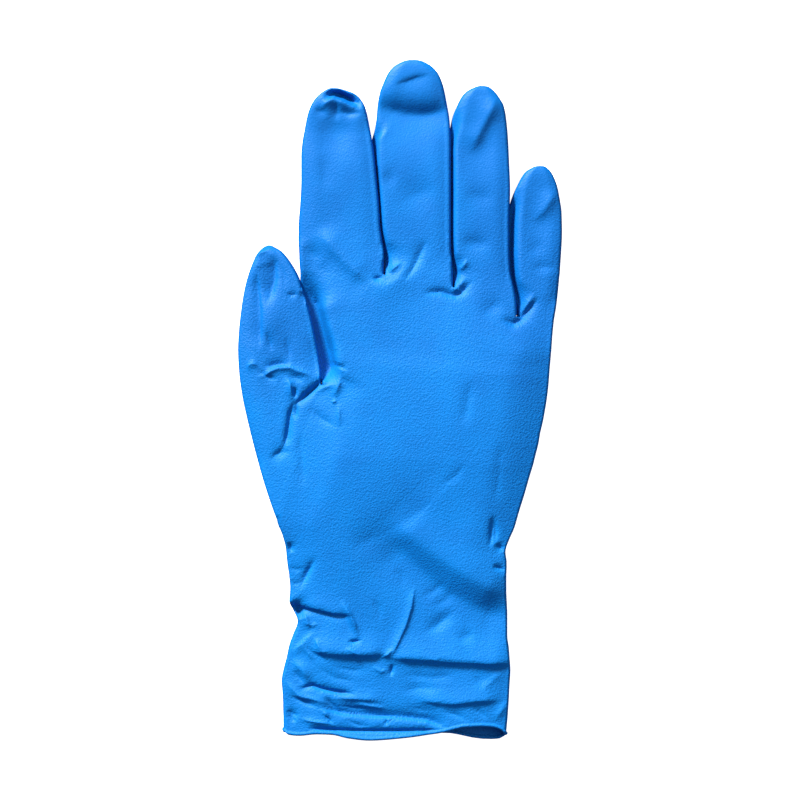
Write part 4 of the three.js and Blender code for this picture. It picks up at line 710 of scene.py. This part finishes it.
class GloveForm:
    """Outer face of the whole glove in millimetres, open at the mouth."""

    def __init__(self, sizes):
        self.sizes = sizes
        self.length = sizes.length / MM
        self.palm_width = sizes.palm_width / MM
        self.knuckle_roll = self.palm_width / len(FINGERS) * FINGER_ROLL_SHARE
        self.film = Film()
        self.columns = finger_columns(sizes.finger_columns)
        self.hand = Sections(HAND, sizes)
        lip_x = [row.x for row in LIP]
        self.lip_top = Curve(lip_x, [row.top for row in LIP])
        self.lip_bottom = Curve(lip_x, [row.bottom for row in LIP])
        self.build()

    def hand_loop(self, where):
        """Points of one section of the hand, from the rim to the knuckles."""
        cut = self.hand.at(where)
        top_shares = palm_columns(self.columns)
        under_shares = palm_columns(UNDER_COLUMNS)
        bow = float(smooth((where - 1 + BOW_FADE) / BOW_FADE))
        knuckle = float(smooth((where - 1 + KNUCKLE_FADE) / KNUCKLE_FADE))
        roll = mix(PALM_ROLL, self.knuckle_roll, bow)
        loop = section_loop(cut, top_shares, under_shares, roll, PALM_TUCK)
        loop.top[:, 1] += knuckle_bow(top_shares, self.length) * bow
        loop.under[:, 1] += knuckle_bow(under_shares[::-1], self.length) * bow
        knuckles = knuckle_rise(top_shares, cut, self.palm_width, self.knuckle_roll)
        loop.top[:, 2] = mix(loop.top[:, 2], knuckles, knuckle)
        root = (where - THUMB_ROOT[0]) / (THUMB_ROOT[1] - THUMB_ROOT[0])
        if 0 < root < 1:
            swell = np.sin(root * np.pi) ** THUMB_ROOT_POWER
            fade = 1 - smooth((loop.top[:, 0] - loop.top[0, 0]) / THUMB_FADE)
            raised = np.maximum(loop.top[:, 2], THUMB_ROOT_RISE)
            loop.top[:, 2] = mix(loop.top[:, 2], raised, swell * fade)
            # The palm opens into the thumb at its very side, not where that starts to round.
            shift = cut.left[0] - loop.top[0, 0]
            loop.top[0, 0] += shift
            loop.under[-1, 0] += shift
        from_rim = (cut.left[1] + cut.right[1]) / 2 - HAND[0].left_y * self.length
        fade = 1 - smooth(from_rim / LIP_FADE)
        # The rolled rim takes up the outline's last two radii.
        back = self.sizes.rim / MM * 2 + from_rim
        for part, lip in ((loop.top, self.lip_top), (loop.under, self.lip_bottom)):
            target = lip(part[:, 0] / self.palm_width) * self.length + back
            part[:, 1] = mix(part[:, 1], target, fade)
        loop.right[:, 1] = between(loop.top[-1, 1], loop.under[0, 1])
        loop.left[:, 1] = between(loop.under[-1, 1], loop.top[0, 1])
        return loop

    def build(self):
        """Lays the rows of the hand, leaves its left side open for the thumb and adds the digits."""
        below = np.linspace(0, THUMB_ROOT[0], BELOW_THUMB_ROWS)
        root = np.linspace(*THUMB_ROOT, THUMB_ROOT_ROWS)
        above = np.linspace(THUMB_ROOT[1], 1, ABOVE_THUMB_ROWS)
        places = np.concatenate((below, root[1:], above[1:]))
        first, last = len(below) - 1, len(below) + len(root) - 2
        rows = [self.film.add_loop(self.hand_loop(where)) for where in places]
        for at in range(len(rows) - 1):
            low, high = rows[at], rows[at + 1]
            self.film.strip(
                np.concatenate((low.top, low.right, low.under)),
                np.concatenate((high.top, high.right, high.under)),
            )
            if not first <= at < last:
                self.film.strip(
                    np.concatenate((low.under[-1:], low.left, low.top[:1])),
                    np.concatenate((high.under[-1:], high.left, high.top[:1])),
                )
        thumb_rows = rows[first : last + 1]
        thumb_root = Loop(
            np.array([row.top[0] for row in thumb_rows]),
            thumb_rows[-1].left[::-1],
            np.array([row.under[-1] for row in thumb_rows])[::-1],
            thumb_rows[0].left,
        )
        shares = np.linspace(0, 1, len(thumb_rows))
        self.add_digit(THUMB, THUMB_TIP, thumb_root, shares, shares, THUMB_ROWS, PALM_TUCK)
        self.add_fingers(rows[-1])
        self.mouth = ring_of(rows[0])[:-1]

    def add_fingers(self, knuckles):
        """Adds the webs between the fingers, from the top film to the one below, and the fingers."""
        points = np.vstack(self.film.points)
        under = knuckles.under[::-1]
        per_top, per_under = len(self.columns) - 1, len(UNDER_COLUMNS) - 1
        webs = [knuckles.left]
        for finger in range(1, len(FINGERS)):
            above = points[knuckles.top[finger * per_top]]
            below = points[under[finger * per_under]]
            webs.append(self.film.add(below + (above - below) * between(1, 0)[:, None])[::-1])
        webs.append(knuckles.right[::-1])
        for finger, rows in enumerate(FINGERS):
            root = Loop(
                knuckles.top[finger * per_top : (finger + 1) * per_top + 1],
                webs[finger + 1][::-1],
                under[finger * per_under : (finger + 1) * per_under + 1][::-1],
                webs[finger],
            )
            tip, tuck = FINGER_TIPS[finger], FINGER_TUCKS[finger]
            self.add_digit(rows, tip, root, self.columns, UNDER_COLUMNS, FINGER_ROWS, tuck)

    def add_digit(self, rows, tip, root, top_shares, under_shares, count, tuck):
        """Carries a digit from its root loop to a closed tip."""
        sections = Sections(rows, self.sizes)
        even = np.linspace(0, 1, count + 1)[1:]
        places = 1 - (1 - even) ** TIP_CROWDING
        previous = root
        for where in places:
            cut = sections.at(where)
            if cut.rise < DIGIT_RISE:
                held = DIGIT_RISE * (cut.rise / DIGIT_RISE) ** TIP_HOLD
                cut = cut._replace(rise=held)
            roll = float(np.hypot(*(cut.right - cut.left))) * FINGER_ROLL_SHARE
            loop = self.film.add_loop(section_loop(cut, top_shares, under_shares, roll, tuck))
            self.film.strip(ring_of(previous), ring_of(loop))
            previous = loop
        apex = np.array([tip[0] * self.palm_width, tip[1] * self.length, TIP_RISE])
        corners = np.vstack((cut.left, cut.right))
        base = np.append(corners.mean(axis=0), TIP_RISE)
        last = Loop(*(np.vstack(self.film.points)[part] for part in previous))
        # The loops shrink towards the apex along a parabola, which rounds the tip.
        for share in TIP_SHARES:
            ahead = (apex - base) * (1 - share**2)
            loop = self.film.add_loop(Loop(*(base + ahead + (part - base) * share for part in last)))
            self.film.strip(ring_of(previous), ring_of(loop))
            previous = loop
        around = ring_of(previous)
        centre = np.full(len(around) - 1, self.film.add(apex[None])[0])
        self.film.faces.append(np.column_stack((around[:-1], around[1:], centre)))


# Lines where the tables of sections meet, softened because the film has no crease there.
KNUCKLE_LINE = np.column_stack((CROTCH_X, CROTCH_Y))
THUMB_LINE = np.array([[THUMB[0].left_x, THUMB[0].left_y], [-0.35, 0.48]])
SOFTEN_REACH = 12.0
SOFTEN_CORE = 1.4  # above 1, the film nearest to a line is softened in full
SOFTEN_TIMES = 60
SOFTEN_UPWARD = 0.3  # least upward part of the normal of film that is softened
SOFTEN_ABOVE = TUCKED_EDGE_TOP + 1


def nearest_on(line, places):
    """Distance to a line, signed side (above zero to the left) and run along it, at each place."""
    steps = np.hypot(*np.diff(line, axis=0).T)
    start = np.concatenate(([0], np.cumsum(steps)))
    distance = np.full(len(places), np.inf)
    side, run = np.zeros(len(places)), np.zeros(len(places))
    for at, step in enumerate(steps):
        along = (line[at + 1] - line[at]) / step
        offset = places - line[at]
        share = np.clip(offset @ along, 0, step)
        away = np.linalg.norm(offset - share[:, None] * along, axis=1)
        closer = away < distance
        distance = np.where(closer, away, distance)
        side = np.where(closer, along[0] * offset[:, 1] - along[1] * offset[:, 0], side)
        run = np.where(closer, start[at] + share, run)
    return distance, side, run / start[-1], start[-1]


def unit(vectors):
    """Directions of the vectors; a vector of no length stays as it is."""
    return vectors / np.maximum(np.linalg.norm(vectors, axis=1), TINY)[:, None]


def normals_of(points, triangles):
    """Normal of each point and of each triangle, and each triangle's doubled area."""
    corners = points[triangles]
    faces = np.cross(corners[:, 1] - corners[:, 0], corners[:, 2] - corners[:, 0])
    whole = np.zeros_like(points)
    for corner in range(3):
        np.add.at(whole, triangles[:, corner], faces)
    return unit(whole), unit(faces), np.linalg.norm(faces, axis=1)


def soften(form, points, triangles):
    """Evens out the top film where the tables of sections meet."""
    edges = np.unique(np.sort(np.vstack((triangles[:, :2], triangles[:, 1:])), axis=1), axis=0)
    scale = np.array([form.palm_width, form.length])
    weight = np.zeros(len(points))
    for line in (KNUCKLE_LINE, THUMB_LINE):
        distance = nearest_on(line * scale, points[:, :2])[0]
        weight = np.maximum(weight, smooth(SOFTEN_CORE - SOFTEN_CORE * distance / SOFTEN_REACH))
    upward = normals_of(points, triangles)[0][:, 2] > SOFTEN_UPWARD
    weight *= upward & (points[:, 2] > SOFTEN_ABOVE)
    # The film's sides don't pull its top down.
    pull = 1 / np.linalg.norm(points[edges[:, 0]] - points[edges[:, 1]], axis=1)
    pull *= upward[edges].all(axis=1)
    links = np.bincount(edges[:, 0], pull, len(points))
    links += np.bincount(edges[:, 1], pull, len(points))
    for _ in range(SOFTEN_TIMES):
        total = np.bincount(edges[:, 0], points[edges[:, 1], 2] * pull, len(points))
        total += np.bincount(edges[:, 1], points[edges[:, 0], 2] * pull, len(points))
        points[:, 2] += weight * (total / np.maximum(links, TINY) - points[:, 2])


# Edges near the folds. A fold is drawn finely up to FOLD_REACH half widths from its line.
FOLD_REACH = 1.6
EDGE_PER_WIDTH = 0.48  # wanted edge in half widths of the fold
FINEST_EDGE = 0.32
SPLIT_OVER = 1.3  # an edge is split when it is this many times the wanted one
REFINE_TIMES = 3


def wanted_edge(places):
    """Longest edge that still draws the folds at each place."""
    wanted = np.full(len(places), np.inf)
    for fold in FOLDS:
        distance, side, _, _ = nearest_on(np.array(fold.points), places)
        width = np.where(side > 0, fold.left, fold.right)
        edge = np.maximum(EDGE_PER_WIDTH * width, FINEST_EDGE)
        wanted = np.minimum(wanted, np.where(distance < FOLD_REACH * width, edge, np.inf))
    return wanted


def refine(points, triangles):
    """Splits the top film's triangles near the folds, and never the mouth's edges."""
    for _ in range(REFINE_TIMES):
        normals = normals_of(points, triangles)[0]
        sides = np.stack((triangles, np.roll(triangles, -1, axis=1)), axis=2).reshape(-1, 2)
        edges, numbers, uses = np.unique(
            np.sort(sides, axis=1), axis=0, return_inverse=True, return_counts=True
        )
        first, second = points[edges[:, 0]], points[edges[:, 1]]
        along = second - first
        # The new point stands off the straight edge as far as the curve through its ends does.
        middle = (first + second) / 2
        bow = np.einsum("ij,ij->i", normals[edges[:, 1]] - normals[edges[:, 0]], along) / 8
        middle += unit(normals[edges[:, 0]] + normals[edges[:, 1]]) * bow[:, None]
        split = np.linalg.norm(along, axis=1) > wanted_edge(middle[:, :2]) * SPLIT_OVER
        split &= (uses == 2) & (middle[:, 2] > TUCKED_EDGE_TOP)
        fresh = np.full(len(edges), -1)
        fresh[split] = len(points) + np.arange(split.sum())
        points = np.vstack((points, middle[split]))
        triangles = split_triangles(triangles, fresh[numbers.reshape(-1, 3)])
    return points, triangles


def split_triangles(triangles, marks):
    """Splits each triangle at its marked edges; a mark is the number of the edge's middle point."""
    marked = marks >= 0
    count = marked.sum(axis=1)
    one, two, three = count == 1, count == 2, count == 3
    # Each triangle is turned so that its marks come in the same places as in the patterns below.
    turn = np.select([one, two], [np.argmax(marked, axis=1), (np.argmin(marked, axis=1) + 1) % 3])
    order = (np.arange(3) + turn[:, None]) % 3
    a, b, c = np.take_along_axis(triangles, order, axis=1).T
    ab, bc, ca = np.take_along_axis(marks, order, axis=1).T
    parts = [triangles[count == 0]]
    patterns = (
        (one, ((a, ab, c), (ab, b, c))),
        (two, ((ab, b, bc), (a, ab, bc), (a, bc, c))),
        (three, ((a, ab, ca), (ab, b, bc), (ca, bc, c), (ab, bc, ca))),
    )
    for chosen, pieces in patterns:
        parts += [np.column_stack([corner[chosen] for corner in piece]) for piece in pieces]
    return np.vstack(parts)


END_FADE = 6.0  # length over which a fold dies out at each end, besides half its wider side
LONGEST_FADE = 0.45  # the most of a fold's length that one end takes
CREST = 1.4  # 2 gives a round crest, less a sharper one
INNER_EASE = 1.3  # how much wider the inner face draws a valley on each side


def fold_lift(points, inner=False):
    """How high the folds and swells lift the top film; the inner face follows the valleys only."""
    places = points[:, :2]
    lift = np.zeros(len(places))
    ease = INNER_EASE if inner else 0
    for fold in FOLDS:
        if inner and fold.height > 0:
            continue
        distance, side, run, length = nearest_on(np.array(fold.points), places)
        width = np.where(side > 0, fold.left, fold.right) + ease
        fade_over = min((END_FADE + max(fold.left, fold.right) / 2) / length, LONGEST_FADE)
        fade = smooth(run / fade_over) * smooth((1 - run) / fade_over)
        lift += fold.height * np.exp(-((distance / width) ** CREST)) * fade
    for swell in SWELLS:
        across = (places[:, 0] - swell.x) / swell.across
        along = (places[:, 1] - swell.y) / swell.along
        lift += swell.height * np.exp(-(across**2 + along**2))
    # Only the top film is folded, so the lift dies out down its sides.
    above = np.clip((points[:, 2] - TUCKED_EDGE_TOP) / TUCKED_EDGE_TOP, 0, 1)
    return lift * above


SIDE_HOLD = 0.02  # keeps points of flat film from sliding sideways
LONGEST_STEP = 1.7  # in film thicknesses, at a sharp bend


def inward_steps(points, triangles, thickness):
    """Steps that put each point one film thickness inside each of its faces."""
    _, normals, areas = normals_of(points, triangles)
    matrices = np.zeros((len(points), 3, 3))
    aims = np.zeros((len(points), 3))
    whole = np.zeros(len(points))
    outer = normals[:, :, None] * normals[:, None, :] * areas[:, None, None]
    for corner in range(3):
        np.add.at(matrices, triangles[:, corner], outer)
        np.add.at(aims, triangles[:, corner], normals * areas[:, None])
        np.add.at(whole, triangles[:, corner], areas)
    whole = np.maximum(whole, TINY)
    matrices = matrices / whole[:, None, None] + np.eye(3) * SIDE_HOLD
    aims = aims / whole[:, None] * (1 + SIDE_HOLD)
    steps = -thickness * np.linalg.solve(matrices, aims[:, :, None])[:, :, 0]
    lengths = np.linalg.norm(steps, axis=1)
    return steps * np.minimum(1, LONGEST_STEP * thickness / np.maximum(lengths, TINY))[:, None]


RIM_ANGLES = np.radians([55, 90, 125, 160, 195, 230, 265, 300])  # round the roll, from outside in


def rim_rings(outer, inner, thickness, radius):
    """Rings of points of the rolled rim, from the outer face's edge to the inner one's."""
    across = unit(outer - inner)
    centre = (outer + inner) / 2
    centre[:, 1] -= np.sqrt(max(radius**2 - (thickness / 2) ** 2, 0))
    rings = []
    for angle in RIM_ANGLES:
        ring = centre + across * radius * np.sin(angle)
        ring[:, 1] += radius * np.cos(angle)
        rings.append(ring)
    return rings


def shell(form):
    """Closed thin film: outer face with its folds, inner face and the rolled rim between them."""
    base = np.vstack(form.film.points)
    base_faces = np.vstack(form.film.faces)
    soften(form, base, base_faces)
    thickness, radius = form.sizes.film / MM, form.sizes.rim / MM
    inner = base.copy()
    inner[:, 2] += fold_lift(base, inner=True)
    steps = inward_steps(inner, base_faces, thickness)
    # At the mouth the two faces end level, so that the rim can join them.
    steps[form.mouth, 1] = 0
    outer, faces = refine(base, base_faces)
    outer[:, 2] += fold_lift(outer)
    inner[form.mouth] = outer[form.mouth]
    inner += steps
    whole = Film()
    outer_numbers, inner_numbers = whole.add(outer), whole.add(inner)
    whole.faces = [faces, inner_numbers[base_faces[:, ::-1]]]
    rings = rim_rings(outer[form.mouth], inner[form.mouth], thickness, radius)
    rows = [outer_numbers[form.mouth], *(whole.add(ring) for ring in rings), inner_numbers[form.mouth]]
    for upper, lower in zip(rows[:-1], rows[1:]):
        whole.strip(np.append(lower, lower[0]), np.append(upper, upper[0]))
    return np.vstack(whole.points), np.vstack(whole.faces)


def mesh_object(name, points, faces):
    """Mesh object in metres from the points that its faces use."""
    used, numbers = np.unique(faces, return_inverse=True)
    mesh = bpy.data.meshes.new(name)
    mesh.from_pydata(points[used].tolist(), [], numbers.reshape(faces.shape).tolist())
    mesh.shade_smooth()
    made = bpy.data.objects.new(name, mesh)
    bpy.context.collection.objects.link(made)
    return made


def add_node(tree, kind, settings=None, inputs=None):
    """Adds a node with its settings; inputs are numbers, colours or other nodes' outputs."""
    node = tree.nodes.new(kind)
    for key, value in (settings or {}).items():
        setattr(node, key, value)
    for key, value in (inputs or {}).items():
        if isinstance(value, bpy.types.NodeSocket):
            tree.links.new(value, node.inputs[key])
        else:
            node.inputs[key].default_value = value
    return node


def new_material(name):
    """Empty material and its node tree."""
    material = bpy.data.materials.new(name)
    material.use_nodes = True
    material.node_tree.nodes.clear()
    return material, material.node_tree


# Real sizes of the film's texture. The pimples are the finest that show in the picture.
PATCH_SIZE = 12.5
GRAIN_SIZE = 0.6667
PIMPLE_SIZE = 0.3846
GRAIN_DEPTH = 0.36


def dipped_nitrile(colours):
    """Nitrile rubber dipped on a grained former: satin, with a leathery grain on palm and fingers, and
    painted shade that deepens the colour at the fingertips and outer digits.
    """
    material, tree = new_material("dipped_nitrile")
    place = add_node(tree, "ShaderNodeTexCoord").outputs["Object"]
    # Patches of slightly thicker film are a little deeper in colour.
    patches = add_node(
        tree,
        "ShaderNodeTexNoise",
        inputs={"Vector": place, "Scale": 1 / (PATCH_SIZE * MM), "Detail": 3.0, "Roughness": 0.55},
    )
    patch = add_node(
        tree,
        "ShaderNodeMapRange",
        inputs={"Value": patches.outputs["Fac"], "From Min": 0.35, "From Max": 0.7, "To Max": 0.5},
    )
    # Painted shade: the colour deepens towards the fingertips.
    apart = add_node(tree, "ShaderNodeSeparateXYZ", inputs={"Vector": place})
    along = apart.outputs["Y"]
    painted_tip_shade = add_node(
        tree,
        "ShaderNodeMapRange",
        inputs={"Value": along, "From Min": 0.0, "From Max": 0.11, "To Max": 0.7},
    )
    # Painted shade on the outer digits, the thumb, ring and little finger: their colour deepens away from
    # the middle line.
    aside = add_node(tree, "ShaderNodeMath", {"operation": "ABSOLUTE"}, {0: apart.outputs["X"]})
    outer = add_node(
        tree,
        "ShaderNodeMapRange",
        inputs={"Value": aside.outputs["Value"], "From Min": 0.02, "From Max": 0.04, "To Max": 0.7},
    )
    digits = add_node(
        tree,
        "ShaderNodeMapRange",
        inputs={"Value": along, "From Min": -0.01, "From Max": 0.03},
    )
    painted_shade = add_node(
        tree,
        "ShaderNodeMath",
        {"operation": "MULTIPLY_ADD"},
        {0: outer.outputs["Result"], 1: digits.outputs["Result"], 2: painted_tip_shade.outputs["Result"]},
    )
    # Random thicker patches and the painted shade together set how deep the colour is.
    share = add_node(
        tree,
        "ShaderNodeMath",
        {"operation": "ADD", "use_clamp": True},
        {0: patch.outputs["Result"], 1: painted_shade.outputs["Value"]},
    )
    colour = add_node(
        tree,
        "ShaderNodeMix",
        {"data_type": "RGBA"},
        {"Factor": share.outputs["Value"], "A": linear(colours.film), "B": linear(colours.thick_film_and_shade)},
    )
    # The former's leathery cells, and finer pimples in them, break the gloss into a soft sheen.
    cells = add_node(
        tree,
        "ShaderNodeTexVoronoi",
        {"feature": "SMOOTH_F1"},
        {"Vector": place, "Scale": 1 / (GRAIN_SIZE * MM), "Smoothness": 0.6},
    )
    pimples = add_node(
        tree,
        "ShaderNodeTexNoise",
        inputs={"Vector": place, "Scale": 1 / (PIMPLE_SIZE * MM), "Detail": 2.0, "Roughness": 0.6},
    )
    grain = add_node(
        tree,
        "ShaderNodeMath",
        {"operation": "ADD"},
        {0: cells.outputs["Distance"], 1: pimples.outputs["Fac"]},
    )
    # The former is smoother towards the fingertips.
    strength = add_node(
        tree,
        "ShaderNodeMapRange",
        inputs={"Value": along, "From Min": 0.045, "From Max": 0.1, "To Min": 0.41, "To Max": 0.2},
    )
    bump = add_node(
        tree,
        "ShaderNodeBump",
        inputs={
            "Strength": strength.outputs["Result"],
            "Distance": GRAIN_DEPTH * MM,
            "Height": grain.outputs["Value"],
        },
    )
    # Thicker patches are a little less glossy.
    rough = add_node(
        tree,
        "ShaderNodeMapRange",
        inputs={"Value": patches.outputs["Fac"], "To Min": 0.46, "To Max": 0.58},
    )
    surface = add_node(
        tree,
        "ShaderNodeBsdfPrincipled",
        inputs={
            "Base Color": colour.outputs["Result"],
            "Roughness": rough.outputs["Result"],
            "IOR": 1.5,
            "Specular IOR Level": 0.2,
            "Normal": bump.outputs["Normal"],
        },
    )
    add_node(tree, "ShaderNodeOutputMaterial", inputs={"Surface": surface.outputs["BSDF"]})
    return material


def table_top(colours):
    """White matt laminate, so evenly lit that it reads as a cut-out ground."""
    material, tree = new_material("matt_white_laminate")
    surface = add_node(
        tree,
        "ShaderNodeBsdfPrincipled",
        inputs={
            "Base Color": linear(colours.table),
            "Roughness": 0.9,
            "Emission Color": linear(colours.table),
            "Emission Strength": 1.0,
        },
    )
    add_node(tree, "ShaderNodeOutputMaterial", inputs={"Surface": surface.outputs["BSDF"]})
    return material


class OBJECT_OT_add_glove_film(bpy.types.Operator):
    """Builds the glove's film with its folds and rolled rim"""

    bl_idname = "glove.add_film"
    bl_label = "Glove film"

    def execute(self, context):
        form = GloveForm(context.scene.glove_sizes)
        points, faces = shell(form)
        # The glove lies in the middle of its solid's box and on the table, as the solid does.
        low, high = np.array(GLOVE_BOX[0]) / MM, np.array(GLOVE_BOX[1]) / MM
        middle = (points.min(axis=0) + points.max(axis=0)) / 2
        points[:, :2] += ((low + high) / 2 - middle)[:2]
        points[:, 2] += low[2] - points[:, 2].min()
        film = mesh_object("glove_film", points * MM, faces)
        film.data.materials.append(dipped_nitrile(context.scene.glove_colours))
        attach(film, "root")
        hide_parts("glove")
        return {"FINISHED"}


# Photograph: square frame, 283 mm wide at the glove's sides, seen from straight above.
LENS = 100.0
SENSOR = 36.0
FRAME_WIDTH = 0.2826
FRAME_LEVEL = 0.003

TABLE_HALF = 1.5
TABLE_DROP = 0.0002  # keeps the table clear of the film
Lamp = namedtuple("Lamp", "name place size power")
LAMPS = (
    Lamp("key", (-1.7, 2.75, 1.6), 0.6, 340.0),
    Lamp("fill", (1.2, 0.9, 2.8), 2.5, 27.0),
)
SKY_COLOUR = (0.4, 0.62, 1, 1)
SKY_STRENGTH = 0.2


class OBJECT_OT_add_glove_stage(bpy.types.Operator):
    """Adds the table, the lamps and the camera above the glove"""

    bl_idname = "glove.add_stage"
    bl_label = "Table, lamps and camera"

    def execute(self, context):
        scene = context.scene
        corners = np.array([[-1, -1, 0], [1, -1, 0], [1, 1, 0], [-1, 1, 0]]) * TABLE_HALF
        table = mesh_object("table", corners, np.array([[0, 1, 2, 3]]))
        table.location.z = -TABLE_DROP
        table.data.materials.append(table_top(scene.glove_colours))
        table.visible_diffuse = False
        table.visible_glossy = False
        camera = bpy.data.objects.new("camera", bpy.data.cameras.new("camera"))
        camera.data.lens = LENS
        camera.data.sensor_width = SENSOR
        camera.location = (0, 0, FRAME_WIDTH * LENS / SENSOR + FRAME_LEVEL)
        context.collection.objects.link(camera)
        scene.camera = camera
        for lamp in LAMPS:
            self.add_lamp(context, lamp)
        world = bpy.data.worlds.new("studio")
        world.use_nodes = True
        background = world.node_tree.nodes["Background"]
        background.inputs["Color"].default_value = SKY_COLOUR
        background.inputs["Strength"].default_value = SKY_STRENGTH
        scene.world = world
        scene.view_settings.view_transform = "Standard"
        return {"FINISHED"}

    def add_lamp(self, context, lamp):
        """Adds a soft square lamp that points at the glove."""
        made = bpy.data.objects.new(lamp.name, bpy.data.lights.new(lamp.name, "AREA"))
        made.data.size = lamp.size
        made.data.energy = lamp.power
        made.location = lamp.place
        made.rotation_euler = (-Vector(lamp.place)).to_track_quat("-Z", "Y").to_euler()
        context.collection.objects.link(made)


class VIEW3D_PT_glove(bpy.types.Panel):
    """Lists the glove's sizes, colours and pieces"""

    bl_label = "Exam glove"
    bl_space_type = "VIEW_3D"
    bl_region_type = "UI"
    bl_category = "Glove"

    def draw(self, context):
        for group in (context.scene.glove_sizes, context.scene.glove_colours):
            for key in group.__annotations__:
                self.layout.prop(group, key)
        for operator in OPERATORS:
            self.layout.operator(operator.bl_idname)


OPERATORS = (OBJECT_OT_add_glove_film, OBJECT_OT_add_glove_stage)
CLASSES = (GloveSizes, GloveColours, *OPERATORS, VIEW3D_PT_glove)


def register():
    for item in CLASSES:
        bpy.utils.register_class(item)
    bpy.types.Scene.glove_sizes = bpy.props.PointerProperty(type=GloveSizes)
    bpy.types.Scene.glove_colours = bpy.props.PointerProperty(type=GloveColours)


def unregister():
    del bpy.types.Scene.glove_colours
    del bpy.types.Scene.glove_sizes
    for item in reversed(CLASSES):
        bpy.utils.unregister_class(item)


def main():
    register()
    bpy.ops.glove.add_film()
    bpy.ops.glove.add_stage()


if __name__ == "__main__":
    main()
